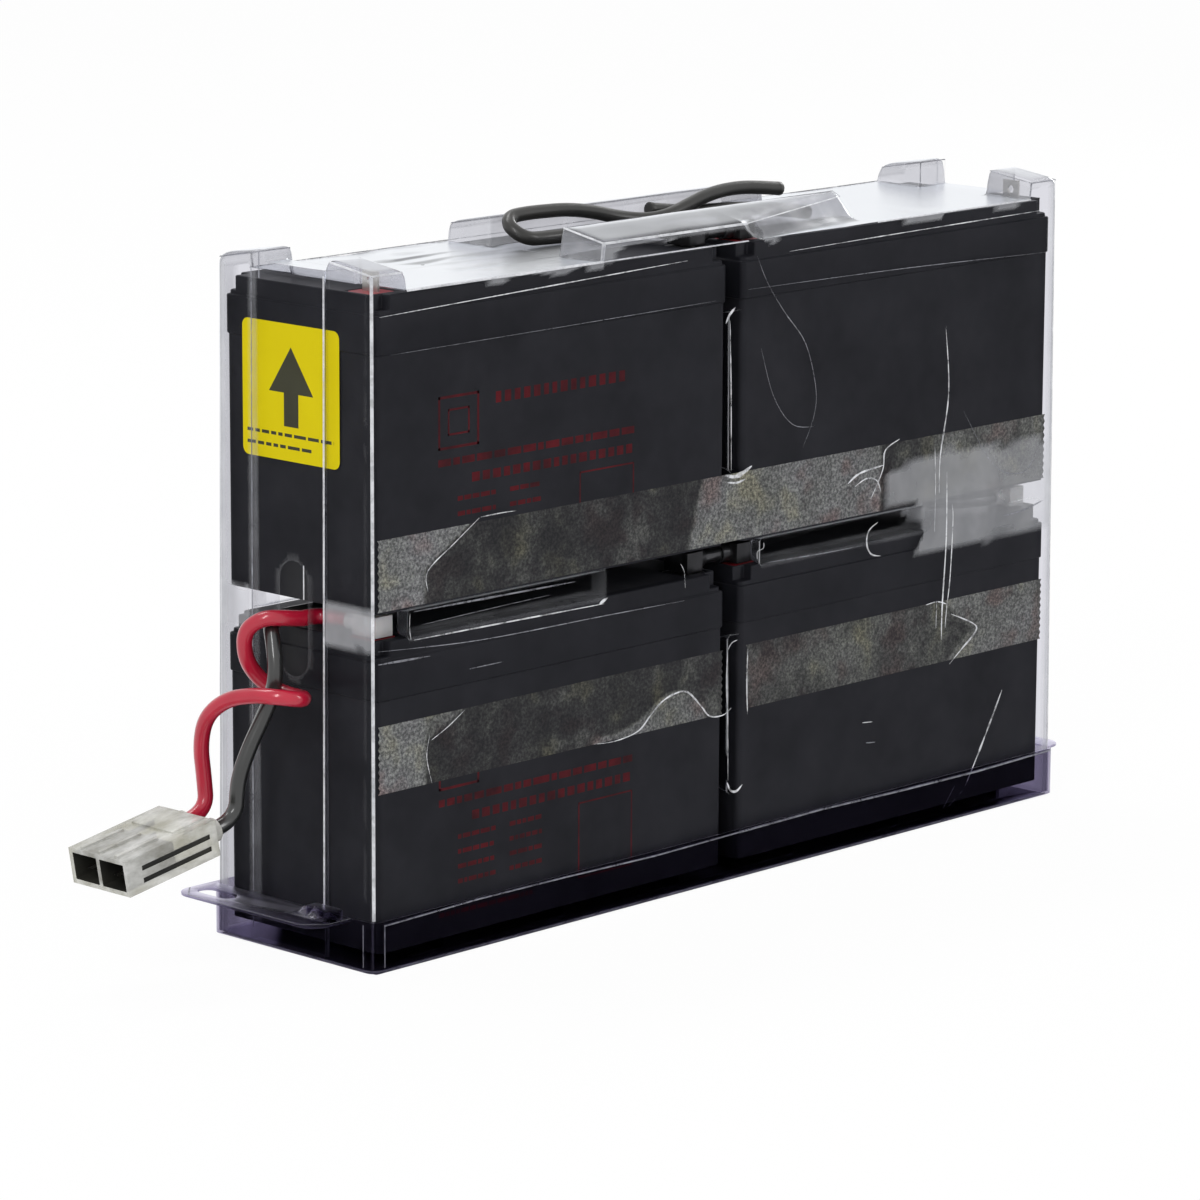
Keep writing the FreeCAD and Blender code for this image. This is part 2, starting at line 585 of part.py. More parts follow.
def cover_hollows(name, skin):
    """What is pressed into the cover: end channels, row shelves and upright ribs."""
    far = f"size.draft + at.cover_end + {PAST}"
    wide = f"size.draft + at.cover_side + {PAST}"
    hollows = []
    for end, sign in (("near", "-"), ("far", "")):
        hollows.append(block(f"{name}_{end}_channel",
                             mirrored((f"at.channel_end - {skin}", far), sign),
                             (f"-(size.channel_front + {skin})", f"size.channel_back + {skin}"),
                             (f"-{PAST}", f"at.cover_top + size.horn_high + {PAST}")))
    left = "size.shelf_start - at.pack_end"
    right = "size.right_shelf_start"
    shelf_z = (f"at.lower_top + size.film - {skin}", f"at.upper_floor - size.film + {skin}")
    depth = f"at.shelf_floor + size.film - {skin}"
    for face, sign in (("front", "-"), ("back", "")):
        y = mirrored((depth, wide), sign)
        for side, low, length in (("left", left, "size.shelf_length"),
                                  ("right", right, "size.right_shelf_length")):
            hollows.append(block(f"{name}_{face}_{side}_shelf",
                                 (f"{low} - {skin}", f"{low} + {length} + {skin}"), y, shelf_z))
        for row in ("lower", "upper"):
            foot = f"at.{row}_floor + size.rib_foot"
            hollows.append(block(f"{name}_{face}_{row}_rib",
                                 both(f"size.rib_width / 2 + {skin}"), y,
                                 (f"{foot} - {skin}", f"{foot} + size.rib_height + {skin}")))
    return fuse(f"{name}_hollows", hollows)


def make_cover():
    outside = cut("cover_outside", cover_forms("outer", "0"), cover_hollows("outer", "0"))
    inside = cut("cover_inside", cover_forms("inner", "size.film"),
                 cover_hollows("inner", "size.film"))
    radius = "size.slot_width / 2"
    foot = "at.lower_top - size.slot_drop + size.slot_width / 2"
    head = f"{foot} + size.slot_height - size.slot_width"
    wall_x = f"-at.channel_end - {PAST}"
    wall_y = f"size.box_width - at.cover_side - size.film - {PAST}"
    depth = f"size.film + {2 * PAST}"
    slot = fuse("slot", [
        block("slot_middle_part", (wall_x, f"{wall_x} + {depth}"),
              about("size.slot_middle", "size.slot_width"), (foot, head)),
        rod("slot_foot_round", (wall_x, "size.slot_middle", foot), radius, depth, Vector(1, 0, 0)),
        rod("slot_head_round", (wall_x, "size.slot_middle", head), radius, depth, Vector(1, 0, 0)),
    ])
    holes = [rod(f"{name}_hole_tool", (f"size.{name}_hole", wall_y, "at.cover_top + size.hole_rise"),
                 "size.cable_diameter / 2 + size.hole_play", depth, Vector(0, 1, 0))
             for name in ("loop", "tail")]
    openings = fuse("cover_openings", [slot] + holes)
    keep(cut("cover_opened", cut("cover_film", outside, inside), openings), "top_cover")


# ---------------------------------------------------------------- the film tray
def make_tray():
    """The tray: a shallow pan with hollow floor bridges and a flange at each end."""
    rim = ("size.tray_height - size.tray_film", "size.tray_height")
    pan = round_uprights("pan", block("pan_blank", both("at.tray_end"), both("at.tray_side"),
                                      ("0", "size.tray_height")), at.get("tray_corner"))
    well = round_uprights(
        "pan_well", block("well_blank", both("at.tray_end - size.tray_film"),
                          both("at.tray_side - size.tray_film"),
                          ("size.tray_film", f"size.tray_height + {PAST}")),
        at.get("tray_corner") - size.get("tray_film"))
    near = round_uprights("near_flange", block(
        "near_flange_blank", ("-at.tray_end - size.near_flange", f"-at.tray_end + {FLANGE_ROOT}"),
        ("-size.near_flange_front", "at.tray_side"), rim), size.get("flange_corner"))
    far = round_uprights("far_flange", block(
        "far_flange_blank", (f"at.tray_end - {FLANGE_ROOT}", "at.tray_end + size.far_flange"),
        both("size.far_flange_half"), rim), size.get("flange_corner"))
    latch_x = "-at.tray_end - size.latch_gap"
    latch = round_uprights("latch", block(
        "latch_blank", (f"{latch_x} - size.latch_length", latch_x),
        about("-size.latch_middle", "size.latch_width"),
        ("size.tray_height - size.tray_film", "size.tray_height + size.latch_height")), LATCH_CORNER)
    latch_hollow = block("latch_hollow", (f"{latch_x} - size.latch_length + size.tray_film",
                                          f"{latch_x} - size.tray_film"),
                         about("-size.latch_middle", "size.latch_width - 2 * size.tray_film"),
                         ("0", "size.tray_height + size.latch_height - size.tray_film"))
    dimple_x = "-at.tray_end - size.near_flange / 2"
    dimple_span = "size.dimple_length - size.dimple_width"
    slot = fuse("dimple", [
        block("dimple_middle_part", about(dimple_x, "size.dimple_width"),
              about("size.dimple_middle", dimple_span), ("0", f"size.tray_height + {PAST}"))] + [
        rod(f"dimple_{end}_round", (dimple_x, f"size.dimple_middle {sign} ({dimple_span}) / 2", "0"),
            "size.dimple_width / 2", f"size.tray_height + {PAST}", Vector(0, 0, 1))
        for end, sign in (("front", "-"), ("back", "+"))])
    bridges, tunnels = [], []
    for side in ("left", "right"):
        for number in (-1, 0, 1):
            middle = f"at.{side}_middle + {number} * size.bridge_pitch"
            word = {-1: "first", 0: "middle", 1: "last"}[number]
            bridges.append(block(f"{side}_{word}_bridge", about(middle, "size.bridge_width"),
                                 both("size.bridge_half_length"), ("0", "size.tray_rise")))
            tunnels.append(block(f"{side}_{word}_tunnel",
                                 about(middle, "size.bridge_width - 2 * size.tray_film"),
                                 both("size.bridge_half_length - size.tray_film"),
                                 (f"-{PAST}", "size.tray_rise - size.tray_film")))
    flanged = fuse("flanged_pan", [pan, near, far, latch])
    hollow = cut("hollow_pan", flanged, fuse("pan_hollows", [well, latch_hollow, slot]))
    bridged = fuse("bridged_pan", [hollow] + bridges)
    keep(cut("tray_cut", bridged, fuse("tunnels", tunnels)), "bottom_tray")


# ---------------------------------------------------------------- tapes and label
def make_tape(name, x, foot, width):
    y = ("at.case_front - size.tape_thickness", "at.case_front")
    keep(block(f"{name}_strip", x, y, (foot, f"{foot} + {width}")), name)


def make_tapes():
    case_left = "size.case_inset - at.pack_end"
    case_right = "at.pack_end - size.case_inset"
    inner_edge = "size.battery_gap / 2 + size.case_inset"
    upper_foot = "at.upper_floor + size.upper_tape_foot"
    lower_foot = "at.lower_floor + at.seam - size.lower_tape_drop"
    make_tape("upper_tape", (case_left, case_right), upper_foot, "size.upper_tape_width")
    make_tape("lower_left_tape", (case_left, f"-({inner_edge})"), lower_foot,
              "size.lower_tape_width")
    make_tape("lower_right_tape", (f"{inner_edge} + size.right_tape_start", case_right),
              lower_foot, "size.lower_tape_width")


def make_label():
    """The plain direction label on the near end of the upper left battery."""
    foot = "at.upper_floor + at.seam - size.label_drop"
    keep(block("label_sheet", ("-at.pack_end - size.label_thickness", "-at.pack_end"),
               about("size.label_middle", "size.label_width"),
               (foot, f"{foot} + size.label_height")), "direction_label")


# ---------------------------------------------------------------- leads and connector
def place_housing_part(thing, name):
    """The connector's parts share one frame: the middle of its wire sockets' end plane."""
    pitch = Rotation(Vector(0, 1, 0), -size.get("housing_pitch"))
    thing.Placement = Placement(HOUSING_PLACE, pitch)
    keep(thing, name)


def make_housing():
    """The two-pole housing; its mouth faces -X and its wires come in behind."""
    rear = "-size.socket_length"
    front = f"{rear} - size.housing_length"
    half_y = "size.housing_width / 2"
    half_z = "size.housing_height / 2"
    raised = (f"{half_z} - {PAST}", f"{half_z} + size.rib_rise")
    solids = [block("housing_block", (front, rear), both(half_y), both(half_z))]
    for number, middle in enumerate(HOUSING_RIBS, start=1):
        solids.append(block(f"housing_rib_{number}",
                            (f"{front} + {PAST}", f"{front} + size.top_rib_length"),
                            about(str(middle), "size.top_rib_width"), raised))
    solids.append(block("housing_pad", (f"{rear} - size.pad_length", f"{rear} - {PAST}"),
                        both(f"{half_y} - size.pad_inset"), raised))
    for side, sign in (("right", "-"), ("left", "")):
        y = f"{sign}at.socket_y"
        solids.append(rod(f"{side}_socket", ("0", y, "0"), "size.socket_diameter / 2",
                          f"size.socket_length + {PAST}", Vector(-1, 0, 0)))
        start = f"{rear} - size.catch_start"
        solids.append(block(f"{side}_catch", (f"{start} - size.catch_length", start),
                            about(y, "size.catch_width"),
                            (f"-{half_z} - size.catch_drop", f"-{half_z} + {PAST}")))
    tools = []
    cavity = "(size.housing_width - 3 * size.housing_wall) / 2"
    for side, sign in (("right", "-"), ("left", "")):
        tools.append(block(f"{side}_cavity", (f"{front} - {PAST}", f"{front} + size.housing_depth"),
                           about(f"{sign}({cavity} + size.housing_wall) / 2", cavity),
                           both(f"{half_z} - size.housing_wall")))
        for number, height in enumerate(HOUSING_GROOVES, start=1):
            y = mirrored((f"{half_y} - size.groove_depth", f"{half_y} + {PAST}"), sign)
            tools.append(block(f"{side}_groove_{number}",
                               (f"{front} + size.groove_front", f"{rear} - size.groove_rear"), y,
                               about(str(height), "size.groove_height")))
    housing = cut("housing_cut", fuse("housing_solids", solids), fuse("housing_tools", tools))
    place_housing_part(housing, "connector_housing")


def make_contact(side, sign):
    """One contact blade, standing on the inner end of its cavity."""
    rear = "-size.socket_length - size.housing_length + size.housing_depth"
    cavity = "(size.housing_width - 3 * size.housing_wall) / 2"
    blade = block(f"{side}_contact_blade", (f"{rear} - size.blade_reach", rear),
                  about(f"{sign}({cavity} + size.housing_wall) / 2", "size.blade_width"),
                  both("size.blade_thickness / 2"))
    place_housing_part(round_uprights(f"{side}_contact_rounded", blade, BLADE_CORNER),
                       f"connector_contact_{side}")


# ---------------------------------------------------------------- build, check, write
def make_everything():
    for side in ("left", "right"):
        for row in ("lower", "upper"):
            make_battery(f"{row}_{side}", f"at.{side}_middle", f"at.{row}_floor")
    make_boot("red_lead_boot", "at.left_middle - at.terminal_x", "at.lower_floor", "y")
    make_boot("lower_left_link_boot", "at.left_middle + at.terminal_x", "at.lower_floor", "x")
    make_boot("lower_right_link_boot", "at.right_middle - at.terminal_x", "at.lower_floor", "-x")
    make_boot("black_lead_boot", "at.right_middle + at.terminal_x", "at.lower_floor", "-x")
    make_boot("upper_left_link_boot", "at.left_middle + at.terminal_x", "at.upper_floor", "x")
    make_boot("upper_right_link_boot", "at.right_middle - at.terminal_x", "at.upper_floor", "-x")
    make_link("lower_link", "lower")
    make_link("upper_link", "upper")
    make_inner_wires()
    make_cover()
    make_tray()
    make_tapes()
    make_label()
    make_housing()
    make_contact("positive", "")
    make_contact("negative", "-")
    cord("red_lead", RED_LEAD, size.get("lead_diameter"))
    cord("black_lead", BLACK_LEAD, size.get("lead_diameter"))
    cord("top_loop_cable", TOP_LOOP, size.get("cable_diameter"))
    cord("top_tail_cable", TOP_TAIL, size.get("cable_diameter"))


def check_document():
    """Stop if any object failed to build or a sub-part's shape is not sound."""
    for thing in doc.Objects:
        if "Invalid" in thing.State or "Error" in thing.State:
            raise SystemExit(f"{thing.Label} failed: {thing.State}")
    for thing in nodes:
        shape = thing.Shape
        if shape.isNull() or not shape.isValid() or not shape.Solids:
            raise SystemExit(f"{thing.Label} has no sound solid")


def write_parts():
    os.makedirs("parts", exist_ok=True)
    for thing in nodes:
        thing.Shape.exportStep(f"parts/{thing.Label}.step")
    total = sum(thing.Shape.Volume for thing in nodes)
    print(f"{len(nodes)} nodes, {total / 1000:.0f} cubic centimetres")


make_everything()
doc.recompute()
check_document()
write_parts()
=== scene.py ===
"""The looks of the battery cartridge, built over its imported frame.

All places are in metres in the frame of the CAD model; the helpers below take millimetres
and turn them into metres.
"""

import math
import random

import bmesh
import bpy
import numpy as np
from mathutils import Matrix, Vector, noise


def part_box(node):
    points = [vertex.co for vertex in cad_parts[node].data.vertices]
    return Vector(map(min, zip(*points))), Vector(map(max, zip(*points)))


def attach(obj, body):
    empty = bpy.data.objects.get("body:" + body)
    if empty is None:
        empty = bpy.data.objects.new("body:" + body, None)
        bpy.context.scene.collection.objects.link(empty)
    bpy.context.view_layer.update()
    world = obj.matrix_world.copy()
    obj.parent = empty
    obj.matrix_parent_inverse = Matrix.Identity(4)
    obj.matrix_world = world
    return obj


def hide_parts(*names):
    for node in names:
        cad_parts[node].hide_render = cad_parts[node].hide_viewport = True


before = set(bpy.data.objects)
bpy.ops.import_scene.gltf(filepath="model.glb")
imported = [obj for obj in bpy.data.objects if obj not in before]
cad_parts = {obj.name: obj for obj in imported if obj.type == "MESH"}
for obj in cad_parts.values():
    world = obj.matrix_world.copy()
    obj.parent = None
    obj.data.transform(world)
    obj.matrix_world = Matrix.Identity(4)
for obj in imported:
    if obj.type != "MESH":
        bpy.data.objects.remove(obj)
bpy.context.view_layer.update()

MM = 0.001


def put(thing):
    """Put an object in the scene."""
    bpy.context.scene.collection.objects.link(thing)


# ---- camera, lamps, floor
def make_camera():
    azimuth = math.radians(-46.4285)
    elevation = math.radians(11.8027)
    roll = 0.004697
    distance = 1700.52
    aside = (-18.02, -15.21)
    back = Vector((math.sin(azimuth) * math.cos(elevation),
                   -math.cos(azimuth) * math.cos(elevation), math.sin(elevation)))
    level = Vector((0, 0, 1)).cross(back).normalized()
    upright = back.cross(level)
    right = math.cos(roll) * level + math.sin(roll) * upright
    up = math.cos(roll) * upright - math.sin(roll) * level
    place = Vector((0, 0, 100)) + back * distance + right * aside[0] + up * aside[1]
    data = bpy.data.cameras.new("camera")
    data.sensor_width = 36
    data.lens = 160.99
    data.clip_start = 0.05
    data.clip_end = 50
    camera = bpy.data.objects.new("camera", data)
    turn = Matrix((right, up, back)).transposed().to_4x4()
    camera.matrix_world = Matrix.Translation(place * MM) @ turn
    put(camera)
    bpy.context.scene.camera = camera


def make_lamp(name, place, aim, size, power):
    data = bpy.data.lights.new(name, "AREA")
    data.shape = "RECTANGLE"
    data.size = size[0]
    data.size_y = size[1]
    data.energy = power
    lamp = bpy.data.objects.new(name, data)
    way = Vector(aim) - Vector(place)
    lamp.matrix_world = (Matrix.Translation(place)
                         @ way.to_track_quat("-Z", "Y").to_matrix().to_4x4())
    put(lamp)


def make_lamps():
    middle = (0, 0, 0.1)
    make_lamp("key_lamp", (-1.6, -0.7, 1.3), middle, (0.25, 1.2), 13)
    make_lamp("fill_lamp", (0.9, -1.7, 1.0), middle, (0.3, 1.2), 8)
    make_lamp("top_lamp", (0.1, 0.9, 1.9), middle, (1.6, 0.4), 12)
    make_lamp("rim_lamp", (1.9, 0.6, 0.7), middle, (0.3, 1.0), 6)


# ---- node helpers
# The finest grain of a moulded surface, in metres.
FINEST = 0.0000005


def add(tree, kind, links=None, values=None, **settings):
    """Add a shader node; links and values go to its named inputs."""
    made = tree.nodes.new("ShaderNode" + kind)
    for key, value in settings.items():
        setattr(made, key, value)
    for key, value in (values or {}).items():
        made.inputs[key].default_value = value
    for key, source in (links or {}).items():
        tree.links.new(source, made.inputs[key])
    return made


def math_node(tree, operation, first, second, third=None):
    made = tree.nodes.new("ShaderNodeMath")
    made.operation = operation
    for number, value in enumerate((first, second, third)):
        if isinstance(value, bpy.types.NodeSocket):
            tree.links.new(value, made.inputs[number])
        elif value is not None:
            made.inputs[number].default_value = value
    return made.outputs[0]


def ramp(tree, source, stops):
    """A colour ramp from (position, colour) stops; colours are three numbers."""
    made = tree.nodes.new("ShaderNodeValToRGB")
    bar = made.color_ramp.elements
    while len(bar) < len(stops):
        bar.new(0.5)
    for element, (position, colour) in zip(bar, stops):
        element.position = position
        element.color = (*colour, 1)
    tree.links.new(source, made.inputs["Fac"])
    return made.outputs["Color"]


def start_material(name):
    material = bpy.data.materials.new(name)
    material.use_nodes = True
    tree = material.node_tree
    tree.nodes.clear()
    place = add(tree, "TexCoord").outputs["Object"]
    return material, tree, place


def mixed(tree, share, first, second):
    """The first shader with a share of the second."""
    return add(tree, "MixShader", {"Fac": share, 1: first, 2: second}).outputs["Shader"]


def finish_material(material, tree, shader):
    output = tree.nodes.new("ShaderNodeOutputMaterial")
    tree.links.new(shader, output.inputs["Surface"])
    return material


def noise_at(tree, place, scale, detail=3.0, rough=0.5, stretch=None):
    """Noise over the object; scale is per metre, stretch a factor for each axis."""
    if stretch:
        mapping = add(tree, "Mapping", {"Vector": place}, {"Scale": stretch})
        place = mapping.outputs["Vector"]
    return add(tree, "TexNoise", {"Vector": place},
               {"Scale": scale, "Detail": detail, "Roughness": rough}).outputs["Fac"]


def bump(tree, height, strength, distance):
    return add(tree, "Bump", {"Height": height},
               {"Strength": strength, "Distance": distance}).outputs["Normal"]


def moulded(name, dark, light, rough, grain=700.0, depth=0.00002, coat=0.0, patch=45.0,
            subsurface=0.0, metallic=0.0, specular=0.5):
    """Moulded plastic or metal: two close colours in soft patches and a fine grain."""
    material, tree, place = start_material(name)
    patches = noise_at(tree, place, patch, 3.0, 0.6)
    colour = ramp(tree, patches, [(0.3, dark), (0.7, light)])
    fine = noise_at(tree, place, grain, 2.0)
    wear = noise_at(tree, place, patch * 3.1, 2.0, 0.7)
    roughness = math_node(tree, "MULTIPLY_ADD", wear, 0.12, rough - 0.06)
    shader = add(tree, "BsdfPrincipled",
                 {"Base Color": colour, "Roughness": roughness,
                  "Normal": bump(tree, fine, 0.15, depth)},
                 {"Specular IOR Level": specular, "Coat Weight": coat,
                  "Coat Roughness": 0.15, "Metallic": metallic,
                  "Subsurface Weight": subsurface, "Subsurface Scale": 0.002})
    return finish_material(material, tree, shader.outputs["BSDF"])


def whitening_and_highlight(name, dark, light, least):
    """Film whitening along a fold, and a painted highlight of the light the fold catches: pale,
    broken up and partly see-through.
    """
    material, tree, place = start_material(name)
    colour = ramp(tree, noise_at(tree, place, 90.0, 3.0, 0.6), [(0.3, dark), (0.7, light)])
    pale = add(tree, "BsdfPrincipled", {"Base Color": colour},
               {"Roughness": 0.3, "Specular IOR Level": 0.5}).outputs["BSDF"]
    see = add(tree, "BsdfTransparent", values={"Color": (0.94, 0.94, 0.96, 1)}).outputs["BSDF"]
    broken = ramp(tree, noise_at(tree, place, 240.0, 3.0, 0.75),
                  [(0.36, (least,) * 3), (0.56, (0.95,) * 3)])
    return finish_material(material, tree, mixed(tree, broken, see, pale))


def clear_film(name, tint, steep_tint, shine_colour, base, milky):
    """Clear formed film: see-through, darker and mirror-like towards grazing, pale at its bends,
    partly whitening and partly painted highlight.

    Two values painted on the mesh drive its pale part. Edge, where the film bends, is partly
    whitening and partly a painted highlight of the light the bends catch. Haze, where the film is
    stretched and milky, is partly a painted reflection: pale patches standing for light the film
    reflects.
    """
    material, tree, place = start_material(name)
    facing = add(tree, "LayerWeight", values={"Blend": 0.5}).outputs["Facing"]
    grazing = math_node(tree, "POWER", facing, 6.0)
    lifted = math_node(tree, "MAXIMUM", math_node(tree, "MULTIPLY_ADD", grazing, 2.5, base), 0.0)
    shine = math_node(tree, "MINIMUM", lifted, 0.9)
    through = ramp(tree, facing, [(0.4, tint), (0.85, steep_tint)])
    see = add(tree, "BsdfTransparent", {"Color": through}).outputs["BSDF"]
    pale_noise = noise_at(tree, place, 80.0, 2.0, 0.6)
    edge = add(tree, "Attribute", attribute_name="edge").outputs["Fac"]
    haze_and_reflection = add(tree, "Attribute", attribute_name="haze_and_reflection").outputs["Fac"]
    # The pale share: bends painted as whitening and highlight, and milky patches partly painted as
    # reflection.
    broken = math_node(tree, "MULTIPLY_ADD", pale_noise, 0.28, 0.09)
    bends = math_node(tree, "MULTIPLY_ADD", edge, broken, haze_and_reflection)
    share = math_node(tree, "MINIMUM", bends, 0.85)
    # The milky colours are also those of the painted highlights and reflections.
    colour = ramp(tree, pale_noise, [(0.3, milky[0]), (0.7, milky[1])])
    pale = add(tree, "BsdfPrincipled", {"Base Color": colour},
               {"Roughness": 0.25, "Specular IOR Level": 0.2}).outputs["BSDF"]
    body = mixed(tree, share, see, pale)
    mirror = add(tree, "BsdfGlossy", values={"Color": (*shine_colour, 1), "Roughness": 0.28})
    return finish_material(material, tree, mixed(tree, shine, body, mirror.outputs["BSDF"]))


def clear_nylon(name):
    """Natural nylon: glossy, half see-through and uneven, yellower where it is thick."""
    material, tree, place = start_material(name)
    cloud = noise_at(tree, place, 130.0, 4.0, 0.6, (0.5, 1, 1))
    colour = ramp(tree, cloud, [(0.3, (0.42, 0.41, 0.36)), (0.5, (0.6, 0.6, 0.57)),
                                (0.7, (0.84, 0.84, 0.82))])
    soft = bump(tree, noise_at(tree, place, 240.0, 3.0), 0.4, 0.0004)
    body = add(tree, "BsdfPrincipled", {"Base Color": colour, "Normal": soft},
               {"Roughness": 0.22, "Coat Weight": 0.4, "Coat Roughness": 0.08}).outputs["BSDF"]
    see = add(tree, "BsdfTransparent", values={"Color": (0.8, 0.79, 0.7, 1)}).outputs["BSDF"]
    share = math_node(tree, "MULTIPLY_ADD", cloud, 0.6, 0.34)
    return finish_material(material, tree, mixed(tree, share, see, body))


def frosted_tape(name):
    """Frosted adhesive tape: milky where it stands off, dark where it has wetted out."""
    material, tree, place = start_material(name)
    patches = noise_at(tree, place, 110.0, 3.0, 0.65)
    fine = noise_at(tree, place, 1000.0, 2.0, 0.75)
    frost = add(tree, "Attribute", attribute_name="frost").outputs["Fac"]
    cloud = math_node(tree, "MULTIPLY", patches, 0.55)
    level = math_node(tree, "MULTIPLY_ADD", frost, 1.6, cloud)
    tone = ramp(tree, level, [(0.2, (0.018, 0.018, 0.018)), (0.29, (0.038, 0.038, 0.036)),
                              (0.36, (0.075, 0.076, 0.069)), (0.44, (0.12, 0.121, 0.11)),
                              (0.62, (0.2, 0.202, 0.195)), (0.8, (0.27, 0.272, 0.262))])
    speckle = ramp(tree, fine, [(0.36, (0.45,) * 3), (0.5, (0.95,) * 3), (0.66, (1.8, 1.8, 1.75))])
    hue = ramp(tree, noise_at(tree, place, 55.0, 2.0, 0.6),
               [(0.34, (1.15, 0.9, 0.88)), (0.45, (1, 1, 1)), (0.58, (0.98, 1, 0.95)),
                (0.7, (1.12, 1.08, 0.8))])
    colour = tone
    for factor in (speckle, hue):
        product = add(tree, "VectorMath", {0: colour, 1: factor}, operation="MULTIPLY")
        colour = product.outputs["Vector"]
    shader = add(tree, "BsdfPrincipled",
                 {"Base Color": colour, "Normal": bump(tree, fine, 0.2, 0.0001)},
                 {"Roughness": 0.42, "Specular IOR Level": 0.25})
    return finish_material(material, tree, shader.outputs["BSDF"])


def seen_rays(tree, path):
    """1 for the rays that show the background: from the camera, a mirror or through glass."""
    clear = math_node(tree, "MAXIMUM", path.outputs["Is Glossy Ray"],
                      path.outputs["Is Transmission Ray"])
    return math_node(tree, "MAXIMUM", path.outputs["Is Camera Ray"], clear)


def white_floor():
    """A pale floor that reads white, with a faint shadow round the pack; over the pack's footprint
    its glow is masked out, a painted shadow area where the matt floor takes the full shadow.
    """
    material, tree, place = start_material("white_floor")
    seen = seen_rays(tree, add(tree, "LightPath"))
    parts = add(tree, "SeparateXYZ", {"Vector": place}).outputs
    # A box over the pack's footprint where the glow is left out: a painted shadow area.
    under = [math_node(tree, "LESS_THAN", math_node(tree, "ABSOLUTE", parts[axis], 0.0), half)
             for axis, half in (("X", 0.157), ("Y", 0.034))]
    beside = math_node(tree, "SUBTRACT", 1.0, math_node(tree, "MULTIPLY", *under))
    share = math_node(tree, "MULTIPLY", math_node(tree, "MULTIPLY", seen, beside), 0.96)
    colour = ramp(tree, noise_at(tree, place, 3.0), [(0.3, (0.84,) * 3), (0.7, (0.88,) * 3)])
    matt = add(tree, "BsdfPrincipled", {"Base Color": colour}, {"Roughness": 0.9})
    glow = add(tree, "Emission", values={"Color": (1, 1, 1, 1), "Strength": 1.0})
    shader = mixed(tree, share, matt.outputs["BSDF"], glow.outputs["Emission"])
    return finish_material(material, tree, shader)


def make_world():
    world = bpy.data.worlds.new("studio")
    world.use_nodes = True
    tree = world.node_tree
    tree.nodes.clear()
    seen = seen_rays(tree, add(tree, "LightPath"))
    strength = math_node(tree, "MULTIPLY_ADD", seen, 0.35, 0.65)
    shade = add(tree, "Background", {"Strength": strength}, {"Color": (1, 1, 1, 1)})
    output = tree.nodes.new("ShaderNodeOutputWorld")
    tree.links.new(shade.outputs["Background"], output.inputs["Surface"])
    bpy.context.scene.world = world


def make_floor():
    work = bmesh.new()
    bmesh.ops.create_grid(work, x_segments=8, y_segments=8, size=4.0)
    floor = mesh_object("floor", work, white_floor())
    floor.location.z = -0.0006


# ---- mesh helpers
def mesh_object(name, work, material):
    """Make an object from a bmesh that is in metres."""
    data = bpy.data.meshes.new(name)
    work.to_mesh(data)
    work.free()
    made = bpy.data.objects.new(name, data)
    put(made)
    data.materials.append(material)
    return made


def dress(piece, slot, *nodes):
    """The piece rides on the root body and stands for these CAD nodes; its slot is not used."""
    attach(piece, "root")
    if nodes:
        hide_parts(*nodes)
    return piece


def paint_values(piece, name, values):
    """Store one value for each vertex, for a material to read."""
    layer = piece.data.attributes.new(name, "FLOAT", "POINT")
    layer.data.foreach_set("value", values)


def apply_modifiers(piece):
    graph = bpy.context.evaluated_depsgraph_get()
    data = bpy.data.meshes.new_from_object(piece.evaluated_get(graph))
    piece.modifiers.clear()
    piece.data = data


def shade_smooth(piece, angle=40):
    piece.data.polygons.foreach_set("use_smooth", [True] * len(piece.data.polygons))
    piece.data.set_sharp_from_angle(angle=math.radians(angle))


def join_rows(work, first, second):
    """Add the faces between two rows of vertices."""
    for corners in zip(first, second, second[1:], first[1:]):
        work.faces.new(corners)


def finish_sheet(name, work, material, slot, angle=None):
    """Turn a bmesh into a piece on the root body, smooth up to an angle if one is given."""
    bmesh.ops.recalc_face_normals(work, faces=work.faces)
    piece = mesh_object(name, work, material)
    if angle:
        shade_smooth(piece, angle)
    return dress(piece, slot)


def box_of(node):
    """The low and high corners of a CAD node, in millimetres."""
    low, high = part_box(node)
    return low / MM, high / MM


def softened(node, slot, material, width):
    """A copy of a CAD node's form with its sharp edges rounded, standing for that node."""
    work = bmesh.new()
    work.from_mesh(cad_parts[node].data)
    bmesh.ops.remove_doubles(work, verts=work.verts, dist=0.00001)
    bmesh.ops.dissolve_limit(work, angle_limit=math.radians(1.0), verts=work.verts,
                             edges=work.edges)
    piece = mesh_object(f"{node}_formed", work, material)
    rounding = piece.modifiers.new("rounding", "BEVEL")
    rounding.width = width * MM
    rounding.segments = 2
    rounding.limit_method = "ANGLE"
    rounding.angle_limit = math.radians(35)
    rounding.use_clamp_overlap = True
    apply_modifiers(piece)
    shade_smooth(piece)
    return dress(piece, slot, node)


def outlined_plate(name, outline, material, thickness, place):
    """A thin plate from an outline of (u, v) points; place turns (u, v, depth) to a point."""
    work = bmesh.new()
    front = [work.verts.new(place(u, v, thickness) * MM) for u, v in outline]
    back = [work.verts.new(place(u, v, 0.0) * MM) for u, v in outline]
    work.faces.new(front)
    work.faces.new(back[::-1])
    join_rows(work, [*front, front[0]], [*back, back[0]])
    bmesh.ops.recalc_face_normals(work, faces=work.faces)
    return mesh_object(name, work, material)


def rounded_rectangle(u0, u1, v0, v1, radius):
    points = []
    steps = 6
    for cu, cv, start in ((u1 - radius, v1 - radius, 0), (u0 + radius, v1 - radius, 90),
                          (u0 + radius, v0 + radius, 180), (u1 - radius, v0 + radius, 270)):
        for step in range(steps + 1):
            turn = math.radians(start + 90 * step / steps)
            points.append((cu + radius * math.cos(turn), cv + radius * math.sin(turn)))
    return points


